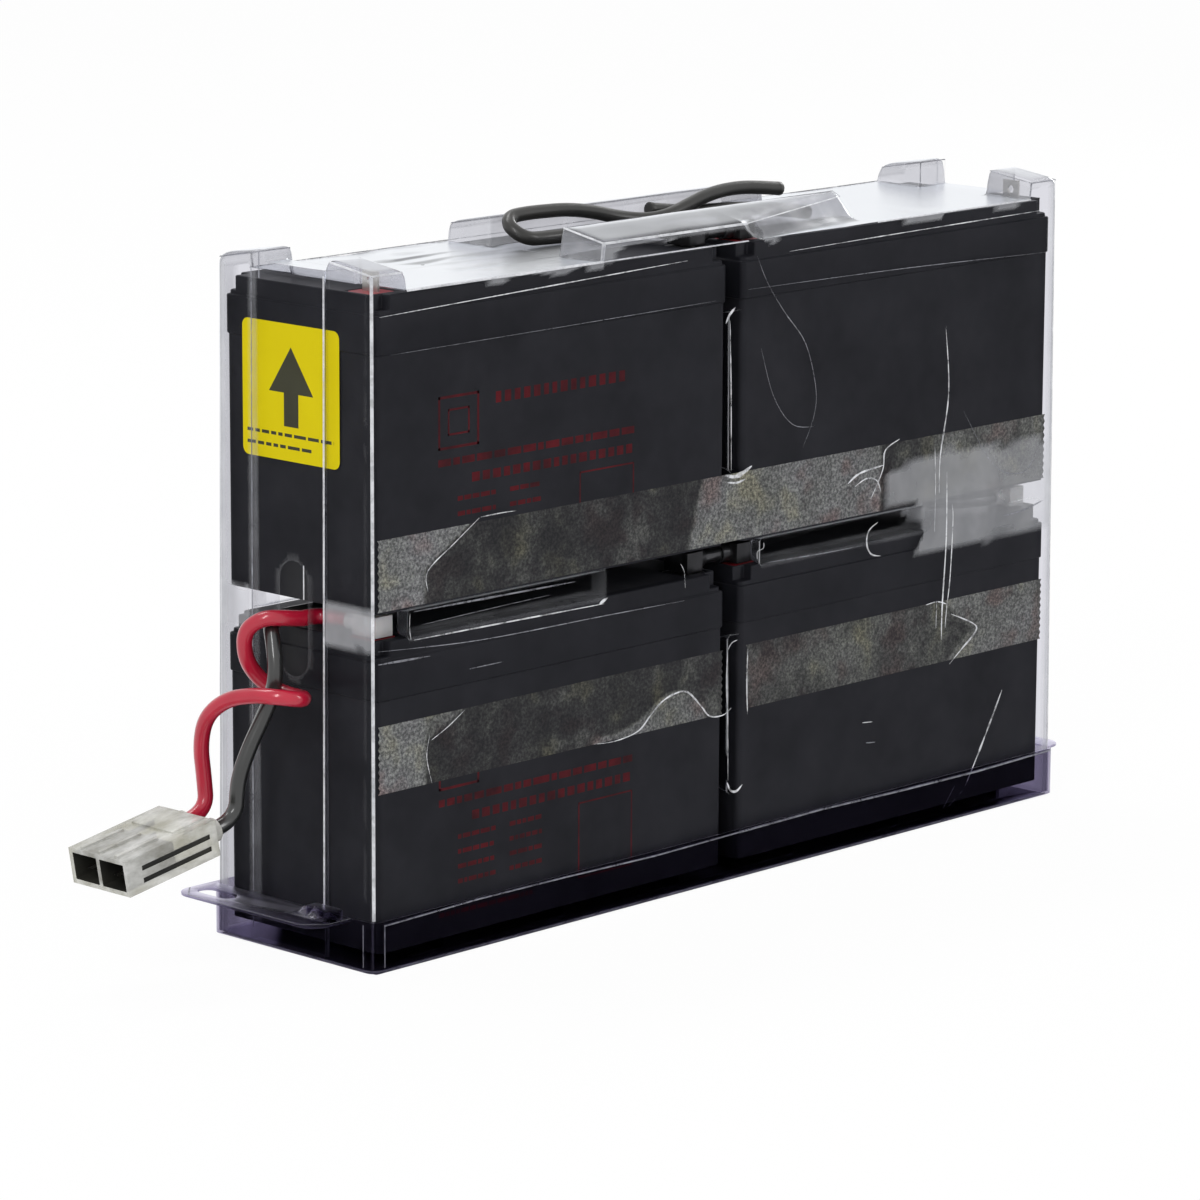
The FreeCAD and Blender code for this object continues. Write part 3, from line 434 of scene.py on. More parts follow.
# ---- cords
RED_LEAD = [
    (-155.4, -1.2, 102.05), (-163, -1.1, 103.4), (-167.8, 3, 103.4), (-170, 8.2, 99),
    (-168.5, 9.5, 90.5), (-165, 7.5, 84), (-161.2, 3, 80.2), (-160.8, -3.5, 79.8),
    (-162.6, -10.2, 80.4), (-168.4, -13.8, 81.6), (-173.8, -10.4, 82.6), (-176.2, -2.8, 82.4),
    (-178.8, 6.5, 80.2), (-180.2, 14.2, 73.8), (-179, 18, 64.5), (-176.6, 19.2, 54.5),
    (-176.637, 18, 43.563), (-185.5, 18, 42),
]
BLACK_LEAD = [
    (-155.4, 5.2, 102.05), (-162.5, 5.2, 102.05), (-165, 0.8, 95.5), (-166.2, -1.5, 88),
    (-167, -0.8, 80.5), (-169.8, 1, 73), (-173.6, 2.6, 65), (-177, 4, 55.5),
    (-176.637, 5, 43.563), (-185.5, 5, 42),
]
TOP_LOOP = [
    (-14, -16, 205), (-14, -9.5, 205), (-21, -4, 204.7), (-32, -0.5, 204.7),
    (-42, 2, 204.7), (-48.5, 3.2, 204.7), (-55, 3.8, 204.9), (-58.1, 8.1, 207.9),
    (-55, 12.3, 210.8), (-47.5, 12.5, 211.3), (-38.5, 12.2, 211.2), (-29, 12.4, 210.8),
    (-18, 12.2, 209.2), (-8, 11, 206.6), (2, 8.5, 204.9), (11, 6.5, 205.6),
    (20, 6.5, 208), (30, 7.5, 210.3), (41, 8.5, 211.2), (53, 8.8, 210.8),
    (66, 8.5, 209),
]
TOP_TAIL = [
    (52, -16, 205), (52, -9.5, 205), (47.5, -2, 205.2), (40, 4.5, 205.4),
    (31, 8.6, 205.2), (20, 11.5, 205.6), (8.5, 12.5, 207.4),
]


def make_cord(name, points, diameter, slot, material):
    """A round cord on a smooth line through its route, standing for its CAD node."""
    data = bpy.data.curves.new(name, "CURVE")
    data.dimensions = "3D"
    data.resolution_u = 10
    data.bevel_depth = diameter / 2 * MM
    data.bevel_resolution = 5
    data.use_fill_caps = True
    line = data.splines.new("NURBS")
    line.points.add(len(points) - 1)
    for point, place in zip(line.points, points):
        point.co = (*(Vector(place) * MM), 1)
    line.order_u = 3
    line.use_endpoint_u = True
    data.materials.append(material)
    cord = bpy.data.objects.new(f"{name}_cord", data)
    put(cord)
    return dress(cord, slot, name)


def make_cut_end(name, points, diameter, insulation, core):
    """The cut end of a cable: a ring of insulation round a recessed core of strands."""
    tip = Vector(points[-1])
    way = (tip - Vector(points[-2])).normalized()
    turn = way.to_track_quat("Z", "Y").to_matrix()
    work = bmesh.new()
    outer = diameter / 2
    profile = [(outer + 0.03, -1.6), (outer + 0.03, -0.1), (outer - 0.1, 0.02),
               (diameter * 0.31, 0.02), (diameter * 0.29, -0.12), (diameter * 0.28, -0.1)]
    count = 28
    earlier = None
    for radius, rise in profile:
        ring = []
        for number in range(count):
            angle = 2 * math.pi * number / count
            spot = Vector((radius * math.cos(angle), radius * math.sin(angle), rise))
            ring.append(work.verts.new((tip + turn @ spot) * MM))
        ring.append(ring[0])
        if earlier:
            join_rows(work, earlier, ring)
        earlier = ring
    strand = diameter * 0.085
    for row in range(-3, 4):
        for column in range(-3, 4):
            x = (column + 0.5 * (row % 2)) * strand * 2
            y = row * strand * 1.75
            if math.hypot(x, y) > diameter * 0.22:
                continue
            bead = bmesh.ops.create_icosphere(work, subdivisions=2, radius=strand * MM)
            for vertex in bead["verts"]:
                vertex.co = (tip + turn @ Vector((x, y, -0.35))) * MM + turn @ vertex.co
                for face in vertex.link_faces:
                    face.material_index = 1
    bmesh.ops.recalc_face_normals(work, faces=work.faces)
    end = mesh_object(name, work, insulation)
    end.data.materials.append(core)
    shade_smooth(end, 50)
    return dress(end, "black_insulation")


# ---- the film cover
END = 157.2
CHANNEL_END = 155.4
SIDE = 33.3
TOP = 202.2
FOOT = 0.7
DRAFT = 1.3
SHELF_SIDE = 28.2
SHELF_Z = (99.3, 106.8)
SHELVES = ((-143.0, -59.0), (12.0, 90.0))
RIBS = ((28.2, 77.7), (130.9, 180.4))
RIB_HALF = 2.75
CHANNEL = (-13.0, 18.0)
HORN_X = 143.2
HORN_Y = 14.3
BOX_X = (-60.0, 65.0)
BOX_Y = 15.0
BOX_BEND = 5.0
BOX_DRAWN_BACK = 13.0
RIDGE_X = -145.4
# Heights over the roof of the raised parts' outer edges and of the ridge, and how much
# higher the horns and boxes are at their inner edges.
RAISED = 5.9
HORN_RISE = 2.7
BOX_RISE = 3.4
RIDGE_RISE = 4.8
# Radii of the rounded edges; a crest lies this share of the radius in from both faces.
EDGE_ROUND = 2.4
BACK_ROUND = 4.6
DRAWN_ROUND = 5.6
CORNER_ROUND = 3.0
CREST = 0.29
CORNER_INSET = 0.88
DRAWN_INSET = 1.7
SLOT_Y = 2.2
SLOT_HALF = 6.0
SLOT_Z = (90.0, 113.0)
TOP_BAND = 4.0
END_BAND = 150.0
TINY = 1e-12
TRAY_SIDE = 35.4
TRAY_END = 159.3
TRAY_RIM = 15.5
# Sharp creases of the front wall as X and Z points, with the width of each in the middle. They are
# drawn pale, partly as whitening and partly as painted highlights of the light the film catches, as
# at the arc and the hook at the right shelf and the crumples over the upper tape.
CREASES = [
    ([(100.4, 165), (102.3, 143), (98.4, 122.5), (98.1, 109.5)], 0.8),
    ([(101.9, 117), (102, 95), (100.4, 73), (100.1, 61.4)], 0.85),
    ([(104.7, 106), (105.3, 100.3), (104.2, 82), (102.7, 72), (101.9, 65)], 0.6),
    ([(92, 74.2), (98, 74.4), (103, 72.8)], 0.5),
    ([(97.5, 74.8), (97.3, 65.6)], 0.4),
    ([(95.6, 128), (96.2, 112), (96, 98)], 0.4),
    ([(131.8, 39.5), (128, 33), (121, 21.5), (113.5, 10)], 1.1),
    ([(61, 40), (66, 39.5)], 0.4),
    ([(-5.4, 177.4), (-3.6, 180), (-1, 182)], 1.3),
    ([(-3.4, 178), (-2.8, 155), (-2.6, 131)], 0.55),
    ([(-5.4, 129.8), (-1, 128.8), (3, 129.6), (7, 131.2)], 2),
    ([(-4.4, 127.4), (0, 126.8), (4, 127.4)], 0.8),
    ([(-3.8, 74), (-2, 76), (0.6, 76.6)], 0.5),
    ([(-3.8, 74), (-3.6, 52), (-3.4, 32)], 0.35),
    ([(-3.8, 31.4), (-2.2, 28.6), (0.6, 27.9), (3.4, 29.6)], 1.1),
    ([(-154, 195.5), (-80, 197.4), (-23, 198.8)], 0.45),
    ([(24, 197), (80, 197.6), (152, 198.2)], 0.35),
    ([(-142.6, 106.4), (-142.8, 102), (-142.2, 98.4)], 0.35),
    ([(-141, 98.3), (-100, 97.8), (-60, 97.2)], 0.6),
    ([(-62, 97.4), (-60, 98.2), (-58.4, 98.8)], 1.5),
    ([(-25.6, 104.6), (-24, 101.9), (-23.5, 96.7)], 0.35),
    ([(67.7, 105), (63.3, 102.8), (62.3, 98.7), (64.5, 95), (69.2, 93.7)], 0.9),
    ([(9.8, 101), (9.9, 103.5), (12.6, 104.2), (12.8, 106)], 0.45),
    ([(134, 102.5), (146, 102.4), (151, 100.4)], 0.5),
    ([(78, 130.8), (71, 128), (69.8, 121.8), (64, 113)], 0.7),
    ([(52.7, 119.4), (58.5, 122.1), (70.3, 123.3)], 0.9),
    ([(56, 118), (62, 120), (67, 118.6), (69, 114.6)], 0.6),
    ([(104.4, 52.6), (111, 57), (117.6, 61.5), (116.4, 64.4), (104.9, 69.3)], 0.8),
    ([(5.6, 73), (5.2, 62), (5.6, 52)], 0.7),
    ([(-3.9, 73), (-4.4, 64), (-4, 56)], 0.5),
    ([(-64.5, 54), (-55, 53.4), (-44.8, 54.8), (-39, 59), (-34.1, 62.3), (-28, 64),
      (-22.2, 63.5), (-16, 58), (-12, 54.2), (-6, 53.5), (-2, 55.2)], 0.8),
    ([(-134, 53.9), (-136.1, 62.1), (-134.8, 68.6)], 0.4),
    ([(-134, 67), (-127, 70), (-120.2, 73.8)], 0.5),
    ([(-135.1, 111.9), (-135.1, 118.2), (-124, 125), (-113.5, 131.2)], 0.5),
    ([(-113, 131.3), (-105, 131.4), (-98, 131.2)], 0.4),
]
# Fainter creases drawn grey in the same way: partly real creases, partly painted highlights.
DIM_CREASES = [
    ([(9, 197), (14, 188), (22, 178), (32, 167), (37, 152), (36, 143),
      (31, 134)], 0.35),
    ([(11, 168), (17, 152), (26, 142), (37, 140)], 0.3),
    ([(63, 33), (67.5, 32.5)], 0.5),
    ([(112, 8.5), (105, 4.5)], 0.35),
    ([(108, 11), (102, 4)], 0.35),
    ([(-141, 106.8), (-110, 106.4), (-72.7, 105.9)], 0.7),
    ([(-138, 102.4), (-110, 103), (-84, 103.4)], 0.3),
    ([(-155.7, 97), (-113.5, 94.1), (-60, 93.4), (-24, 92.8)], 0.4),
    ([(-155.7, 93.1), (-134.4, 92.5)], 0.7),
    ([(-118, 86), (-104, 86)], 0.4),
    ([(5, 187), (80, 186), (152, 184)], 0.25),
    ([(14, 99.4), (40, 98.6), (60, 98.4)], 0.35),
    ([(-150, 184), (-70, 184.5), (-10, 185)], 0.2),
    ([(131, 98.4), (142, 99), (152, 101)], 0.8),
    ([(110, 136), (126, 116), (142, 112), (150, 122)], 0.4),
]


def grid_lines(breaks, step, extra=()):
    """Lines from the first to the last break, close together about each one."""
    first, last = min(breaks), max(breaks)
    wanted = {first, last, *extra}
    for value in breaks:
        for offset in (-1.0, -0.5, -0.2, 0.2, 0.5, 1.0):
            if first < value + offset < last:
                wanted.add(value + offset)
    ordered = []
    for value in sorted(wanted):
        if not ordered or value - ordered[-1] > 0.18:
            ordered.append(value)
    ordered[-1] = last
    lines = [ordered[0]]
    for value in ordered[1:]:
        gap = value - lines[-1]
        parts = max(1, math.ceil(gap / step))
        start = lines[-1]
        lines += [start + gap * part / parts for part in range(1, parts + 1)]
    return lines


def rounded_drop(inside, radius):
    """How far a rounded edge has dropped at a distance in from it."""
    short = radius - min(max(inside, 0.0), radius)
    return radius - math.sqrt(radius ** 2 - short ** 2)


def horn_top(x, y):
    """The top of a horn over a point, given as distances from the middle."""
    drop = max(rounded_drop(x - HORN_X, EDGE_ROUND), rounded_drop(END - x, EDGE_ROUND),
               rounded_drop(abs(y) - HORN_Y, EDGE_ROUND),
               rounded_drop(SIDE - abs(y), BACK_ROUND if y > 0 else EDGE_ROUND))
    return TOP + RAISED + HORN_RISE * (SIDE - abs(y)) / (SIDE - HORN_Y) - drop


def box_front(x, y):
    """How far out a centre box's front reaches; the front box draws back to the right."""
    if y > 0 or x < BOX_BEND:
        return SIDE
    return SIDE - BOX_DRAWN_BACK * (x - BOX_BEND) / (BOX_X[1] - BOX_BEND)


def box_top(x, y):
    """The top of a centre box over a point of the plan."""
    drawn_back = y < 0 and x > BOX_BEND
    drop = max(rounded_drop(x - BOX_X[0], EDGE_ROUND), rounded_drop(BOX_X[1] - x, EDGE_ROUND),
               rounded_drop(abs(y) - BOX_Y, EDGE_ROUND),
               rounded_drop(box_front(x, y) - abs(y), DRAWN_ROUND if drawn_back else EDGE_ROUND))
    return TOP + RAISED + BOX_RISE * (SIDE - abs(y)) / (SIDE - BOX_Y) - drop


def roof(x, y):
    """The cover's top surface over a point of its plan."""
    side = abs(y)
    if abs(x) > HORN_X and side > HORN_Y:
        return horn_top(abs(x), y)
    if BOX_X[0] < x < BOX_X[1] and BOX_Y < side <= box_front(x, y) + 0.01:
        return box_top(x, y)
    if x < RIDGE_X and side <= HORN_Y:
        return TOP + RIDGE_RISE
    crumple = abs(noise.noise(Vector((x * 0.1, y * 0.12, 4.0))))
    return TOP - 1.4 * crumple * blob(x, -104, -62, 14)


def wall_depth(x, z):
    """How far out a long wall stands."""
    in_shelf = SHELF_Z[0] < z < SHELF_Z[1] and any(low < x < high for low, high in SHELVES)
    in_rib = abs(x) < RIB_HALF and any(low < z < high for low, high in RIBS)
    if in_shelf or in_rib:
        return SHELF_SIDE
    return SIDE + wall_lean(z)


def wall_lean(z):
    """How far a wall leans out at a height."""
    return DRAFT * (TOP - z) / (TOP - FOOT)


def ribbon(work, line, outward, width, even=False):
    """Add a raised ribbon along a line; it swells in the middle and tapers, unless even."""
    outward = Vector(outward).normalized()
    count = len(line)
    earlier = None
    for number, spot in enumerate(line):
        along = (line[min(number + 1, count - 1)] - line[max(number - 1, 0)]).normalized()
        across = along.cross(outward)
        swell = 1.0 if even else math.sin(math.pi * (number + 0.3) / (count - 0.4)) ** 0.6
        ragged = 1.0 if even else 0.75 + 0.45 * noise.noise(spot * 0.35)
        half = width / 2 * swell * ragged
        row = [work.verts.new((spot + across * offset + outward * proud) * MM)
               for offset, proud in ((-half, 0.02), (0.0, 0.02 + half * 0.2), (half, 0.02))]
        if earlier:
            join_rows(work, earlier, row)
        earlier = row


def make_creases(name, creases, material):
    """Sharp creases in the front wall: for each its X and Z points and its width."""
    work = bmesh.new()
    for points, width in creases:
        line = smooth_line([Vector((x, -SIDE - wall_lean(z), z)) for x, z in points], 5)
        ribbon(work, line, (0, -1, 0), width)
    return finish_sheet(name, work, material, "clear_film", 80)


def straight(first, last):
    """A straight line of points about 4 mm apart."""
    first, last = Vector(first), Vector(last)
    count = max(2, int((last - first).length / 4))
    return [first.lerp(last, number / count) for number in range(count + 1)]


def make_folds(name, lines, material):
    """Pale lines along the film's folds, partly whitening and partly painted highlights: each a
    first and last point, the way it faces and its width."""
    work = bmesh.new()
    for first, last, outward, width in lines:
        ribbon(work, straight(first, last), outward, width, even=True)
    return finish_sheet(name, work, material, "clear_film", 80)


def fold_path(points, outward, width):
    """The lines from each point to the next, all facing the same way."""
    return [(first, last, outward, width) for first, last in zip(points, points[1:])]


def horn_folds(side_x, side_y, width):
    """The outlines of a horn at one corner of the cover."""
    inset = CREST * EDGE_ROUND
    far_inset = CREST * (BACK_ROUND if side_y > 0 else EDGE_ROUND)
    out_x, in_x = side_x * (END - inset), side_x * (HORN_X + inset)
    out_y, in_y = side_y * (SIDE - far_inset), side_y * (HORN_Y + inset)
    low, high = horn_top(abs(out_x), out_y), horn_top(abs(in_x), in_y)
    return [
        ((out_x, out_y, low), (in_x, out_y, low), (0, side_y, 1), width),
        ((in_x, out_y, low), (in_x, in_y, high), (-side_x, 0, 1), width * 0.7),
        ((in_x, in_y, high), (out_x, in_y, high), (0, -side_y, 1), width * 0.7),
        ((out_x, in_y, high), (out_x, out_y, low), (side_x, 0, 1), width),
        ((in_x - side_x * inset, out_y, TOP), (in_x, out_y, low), (-side_x, side_y, 0), width),
        ((in_x, in_y, TOP), (in_x, in_y, high), (-side_x, -side_y, 0), width * 0.7),
        ((out_x, in_y, TOP), (out_x, in_y, high), (side_x, -side_y, 0), width * 0.7),
        ((side_x * HORN_X, out_y, TOP), (side_x * HORN_X, in_y, TOP), (-side_x, 0, 1),
         width * 0.6),
    ]


def box_folds(side_y, width):
    """The outlines of a centre box of the roof; the front one draws back to the right."""
    inset = CREST * EDGE_ROUND
    start, end = BOX_X[0] + inset, BOX_X[1] - inset
    front = side_y * (SIDE - inset)
    bend = BOX_BEND if side_y < 0 else end
    far = side_y * (box_front(end, side_y) - (DRAWN_INSET if side_y < 0 else inset))
    back = side_y * (BOX_Y + inset)
    low, high = box_top(start, front), box_top(start, back)
    far_low = box_top(end, far)
    lines = [
        ((BOX_X[0], front, TOP), (start, front, low), (-1, side_y, 0), width * 1.5),
        ((start, front, low), (bend, front, low), (0, side_y, 1), width * 1.2),
        ((start, front, low), (start, back, high), (-1, 0, 1), width * 0.8),
        ((start, back, high), (end, back, high), (0, -side_y, 1), width * 0.6),
        ((end, far, far_low), (end, back, high), (1, 0, 1), width * 0.5),
        ((BOX_X[0], side_y * SIDE, TOP), (bend, side_y * SIDE, TOP), (0, side_y, 1), width * 0.7),
    ]
    if side_y < 0:
        lines.append(((bend, front, low), (end, far, far_low), (0.2, side_y, 1), width * 0.5))
    return lines


def bright_folds():
    """The folds that catch the light: the near corner, the near column and the front boxes."""
    near, front, foot = -END, -SIDE, 15.8
    corner = [(near - wall_lean(z) + CORNER_INSET, front - wall_lean(z) + CORNER_INSET, z)
              for z in (foot, 60, 130, 178, TOP + 5)]
    lines = fold_path(corner, (-1, -1, 0), 1.0)
    lines += [((near - wall_lean(foot), CHANNEL[0] - 0.3, foot),
               (near, CHANNEL[0] - 0.3, TOP + 3.5), (-1, 0, 0), 0.75),
              ((-143, front, TOP), (-60, front, TOP), (0, -1, 0.6), 0.8),
              ((66, front, TOP), (143, front, TOP), (0, -1, 0.6), 0.5),
              ((near - 0.6, -4.7, 108.6), (near - 0.5, -4.6, 118.8), (-1, 0, 0), 0.5)]
    return lines + horn_folds(-1, -1, 0.7) + box_folds(-1, 0.8)


def dim_folds():
    """The greyer folds: the far column, the other horns and box, and the wall corners."""
    lines = [((-END - wall_lean(FOOT), CHANNEL[1] - 0.4, FOOT + 4),
              (-END, CHANNEL[1] - 0.4, TOP + 3.5), (-1, 0, 0), 0.5),
             ((END + wall_lean(16) - 0.9, -SIDE - wall_lean(16) + 0.9, 16),
              (END - 0.9, -SIDE + 0.9, TOP + 5), (1, -1, 0), 0.8),
             ((-HORN_X, SIDE, TOP), (BOX_X[0], SIDE, TOP), (0, 1, 1), 0.6),
             ((BOX_X[1], SIDE, TOP), (HORN_X, SIDE, TOP), (0, 1, 1), 0.6)]
    for side_x, side_y in ((-1, 1), (1, -1), (1, 1)):
        lines += horn_folds(side_x, side_y, 0.55)
    return lines + box_folds(1, 0.55)


def tray_folds():
    """The tray's rim, near corner, bottom edges and flange outline."""
    side, end, rim = TRAY_SIDE, TRAY_END, TRAY_RIM
    edge = [(x, -side, rim - 0.9 + 0.5 * math.sin(x * 0.045)) for x in range(-155, 158, 39)]
    lines = fold_path(edge[:5], (0, -1, 0.3), 0.5) + fold_path(edge[4:], (0, -1, 0.3), 0.7)
    corner, floor = 4.5, 0.4
    near_foot = (0.3 - end, corner - side, floor)
    front_foot = (corner - end, 0.3 - side, floor)
    between = (1.5 - end, 1.5 - side, floor)
    for x, y, outward in ((-end, corner - side, (-1, 0, 0)), (corner - end, -side, (0, -1, 0))):
        lines.append(((x, y, 1.5), (x, y, rim - 1), outward, 0.45))
    lines += [(front_foot, (end - corner, 0.3 - side, floor), (0, -1, -0.2), 0.55),
              (near_foot, (0.3 - end, side - corner, floor), (-1, 0, -0.2), 0.5),
              (between, near_foot, (-1, -1, -0.2), 0.5),
              (between, front_foot, (-1, -1, -0.2), 0.5)]
    outer = -end - 15.2
    flange = [(outer + 6, 35, rim), (outer, 29, rim), (outer, -19.5, rim),
              (outer + 6, -25.5, rim), (-end, -25.5, rim)]
    return lines + fold_path(flange, (0, 0, 1), 0.5)


def make_flange_crumple(material):
    """The crumpled corner of the near flange: a small sheet of film in sharp facets."""
    work = bmesh.new()
    columns, rows = 12, 15
    earlier = None
    for across in range(rows):
        row = []
        for along in range(columns):
            x, y = -TRAY_END - 0.6 - 0.75 * along, -6.0 - 1.15 * across
            middle = (math.sin(math.pi * across / (rows - 1))
                      * math.sin(math.pi * along / (columns - 1)))
            rise = 4.2 * abs(noise.noise(Vector((x * 0.33, y * 0.27, 2.0)))) + 0.8
            row.append(work.verts.new(Vector((x, y, TRAY_RIM + 0.05 + rise * middle)) * MM))
        if earlier:
            join_rows(work, earlier, row)
        earlier = row
    return finish_sheet("flange_crumple", work, material, "tray_film", 18)


def smooth_line(points, steps):
    """A smooth line through points, with so many steps between each two."""
    ends = [points[0], *points, points[-1]]
    line = []
    for a, b, c, d in zip(ends, ends[1:], ends[2:], ends[3:]):
        for step in range(steps):
            t = step / steps
            line.append(0.5 * (2 * b + (c - a) * t + (2 * a - 5 * b + 4 * c - d) * t ** 2
                               + (3 * b - a - 3 * c + d) * t ** 3))
    line.append(points[-1])
    return line


def blob(value, low, high, soft):
    """1 between low and high, falling to 0 over soft beyond them."""
    away = max(low - value, value - high, 0.0)
    return max(0.0, 1 - away / soft) ** 2


def film_haze_and_reflection(x, y, z, face):
    """How milky the film is at a point of a face of the cover, and how much painted reflection it
    takes there.
    """
    spot = Vector((x, y, z))
    rough = 0.5 + 0.5 * noise.noise(spot * 0.045)
    fine = noise.noise(spot * 0.12 + Vector((7, 3, 1)))
    # Partly milky stretch, partly painted reflection: the front patch by the right shelves, the
    # band at the front's far end, the near wall's row gap and far column, the roof and the back
    # wall's near end are pale patches standing for the light the film reflects there.
    haze_and_reflection = 0.0
    if face == "front":
        x += 5 * fine
        z += 6 * noise.noise(spot * 0.07 + Vector((1, 5, 9)))
        patch = max(blob(x, 73, 160, 3) * blob(z, 106, 122, 3),
                    blob(x, 90, 160, 3) * blob(z, 92, 107, 2.5))
        if math.hypot((x - 79) / 11.0, (z - 99) / 10.5) < 1:
            patch = 0.0
        haze_and_reflection = 0.38 * patch * (0.8 + 0.35 * rough) + 0.4 * blob(spot.x, 154, 162, 1.5)
        # Past the roof line more is painted: a painted shade that greys the film against the white.
        if z > TOP + 0.5:
            haze_and_reflection += 0.4
    elif face == "near":
        gap = blob(z, 98 + 3 * fine, 108 + 3 * fine, 1.5)
        haze_and_reflection = 0.45 * gap * (blob(y, 19, 33, 1) + blob(y, -33, -14, 1))
        haze_and_reflection += 0.6 * blob(y, 29.5, 36, 1.2)
    elif face == "top":
        haze_and_reflection = max(0.13, 0.17 + 0.14 * (rough - 0.5) + 0.06 * fine)
    elif y > 0:
        haze_and_reflection = 0.3 * blob(x, -160, -148, 3)
    return haze_and_reflection if haze_and_reflection > 0.12 else 0.0


def slot_away(y, z):
    """How far a point of the near wall is from the slot's middle line, and the nearest height
    on that line."""
    middle = min(max(z, SLOT_Z[0]), SLOT_Z[1])
    return math.hypot(y - SLOT_Y, z - middle), middle


def round_corner(place, half_x, half_y):
    """Draw a point near a corner of a rectangular plan on to its rounded corner."""
    x, y, z = place
    inner_x, inner_y = half_x - CORNER_ROUND, half_y - CORNER_ROUND
    over_x, over_y = abs(x) - inner_x, abs(y) - inner_y
    if over_x <= 0 or over_y <= 0:
        return place
    shrink = max(over_x, over_y) / math.hypot(over_x, over_y)
    return [math.copysign(inner_x + over_x * shrink, x),
            math.copysign(inner_y + over_y * shrink, y), z]


def cover_lines():
    """The grid lines of the cover's box along each axis, close together at its bends."""
    x_breaks = [-END, -CHANNEL_END, RIDGE_X, -HORN_X, *SHELVES[0], BOX_X[0], -RIB_HALF, RIB_HALF,
                *SHELVES[1], BOX_X[1], HORN_X, CHANNEL_END, END]
    extra = [93 + 0.9 * number for number in range(13)]
    for reach in (1.7, 2.6):
        extra += [END - reach, reach - END, HORN_X + reach, -HORN_X - reach, BOX_X[0] + reach,
                  BOX_X[1] - reach]
    xs = grid_lines(x_breaks, 4.0, extra)
    round_part = [0.75 * number for number in range(9)]
    slot_lines = [SLOT_Z[0] - value for value in round_part]
    slot_lines += [SLOT_Z[1] + value for value in round_part]
    zs = grid_lines([FOOT, *RIBS[0], *SHELF_Z, *RIBS[1], TOP - TOP_BAND, TOP], 3.6, slot_lines)
    across = [SLOT_Y - SLOT_HALF + 0.75 * number for number in range(17)]
    corner_lines = [SIDE - inside for inside in (4.6, 3.4, 2.4, 1.7, 1.0)]
    corner_lines += [HORN_Y + 1.7, HORN_Y + 2.6]
    across += corner_lines + [-value for value in corner_lines]
    ys = grid_lines([-SIDE, *CHANNEL, -HORN_Y, HORN_Y, -BOX_Y, BOX_Y, SIDE], 3.0, across)
    return xs, ys, zs


def cover_grid():
    """The cover's box before it is formed: its points, and its faces without the slot."""
    xs, ys, zs = cover_lines()
    spots, faces = {}, []

    def vertex(x, y, z):
        key = (round(x, 3), round(y, 3), round(z, 3))
        return spots.setdefault(key, len(spots))

    def sheet(firsts, seconds, point):
        for a0, a1 in zip(firsts, firsts[1:]):
            for b0, b1 in zip(seconds, seconds[1:]):
                faces.append([vertex(*point(a, b))
                              for a, b in ((a0, b0), (a1, b0), (a1, b1), (a0, b1))])

    sheet(xs, zs, lambda x, z: (x, -SIDE, z))
    sheet(xs, zs, lambda x, z: (x, SIDE, z))
    sheet(ys, zs, lambda y, z: (-END, y, z))
    sheet(ys, zs, lambda y, z: (END, y, z))
    sheet(xs, ys, lambda x, y: (x, y, TOP))
    rest = np.array(list(spots), float)

    def in_slot(face):
        x, y, z = rest[face].mean(axis=0)
        return x < -END + 0.01 and slot_away(y, z)[0] < SLOT_HALF

    return rest, [face for face in faces if not in_slot(face)]


def on_face(value, limit):
    return abs(abs(value) - limit) < 0.001


def face_name(x, y, z):
    """Which face of the cover's box a point is on, where the film's milkiness and painted
    reflection differ.
    """
    if on_face(y, SIDE) and y < 0:
        return "front"
    if on_face(z, TOP):
        return "top"
    return "near" if on_face(x, END) and x < 0 else ""


def formed_place(x, y, z):
    """Where a point of the cover's box goes on the formed cover."""
    spot = Vector((x, y, z))
    wave = noise.noise(spot * 0.03) + 0.5 * noise.noise(spot * 0.09)
    new = [x, y, z]
    bottom = TOP - TOP_BAND
    if z > bottom:
        new[2] = bottom + (z - bottom) / TOP_BAND * (roof(x, y) + 0.25 * wave - bottom)
    half_y = SIDE
    if on_face(y, SIDE):
        half_y = wall_depth(x, z) - 0.14 * abs(wave)
        new[1] = math.copysign(half_y, y)
    reach = END + wall_lean(z) - 0.12 * abs(wave)
    if CHANNEL[0] < y < CHANNEL[1]:
        reach = CHANNEL_END - 0.05 * abs(wave)
    if on_face(x, END):
        new[0] = math.copysign(reach, x)
    elif abs(x) > END_BAND:
        share = (abs(x) - END_BAND) / (END - END_BAND)
        new[0] = math.copysign(END_BAND + share * (reach - END_BAND), x)
    return round_corner(new, reach, half_y)


def make_cover(material):
    """The clear cover: one sheet of film, formed, smoothed and painted with its milkiness, its
    painted reflections and its bends' painted highlights.
    """
    rest, faces = cover_grid()
    formed = np.array([formed_place(*place) for place in rest])
    haze_and_reflection = np.array([film_haze_and_reflection(*place, face_name(*place)) for place in rest])
    pairs = np.array([(a, b) for face in faces for a, b in zip(face, face[1:] + face[:1])])
    smooth, edge = smoothed(formed, pairs, faces, rest)
    used = np.unique(pairs)
    work = bmesh.new()
    made = {number: work.verts.new(Vector(smooth[number]) * MM) for number in used}
    for face in faces:
        work.faces.new([made[number] for number in face])
    bmesh.ops.recalc_face_normals(work, faces=work.faces)
    cover = mesh_object("top_cover_film", work, material)
    paint_values(cover, "edge", edge[used])
    paint_values(cover, "haze_and_reflection", haze_and_reflection[used])
    shade_smooth(cover, 60)
    return dress(cover, "clear_film", "top_cover")


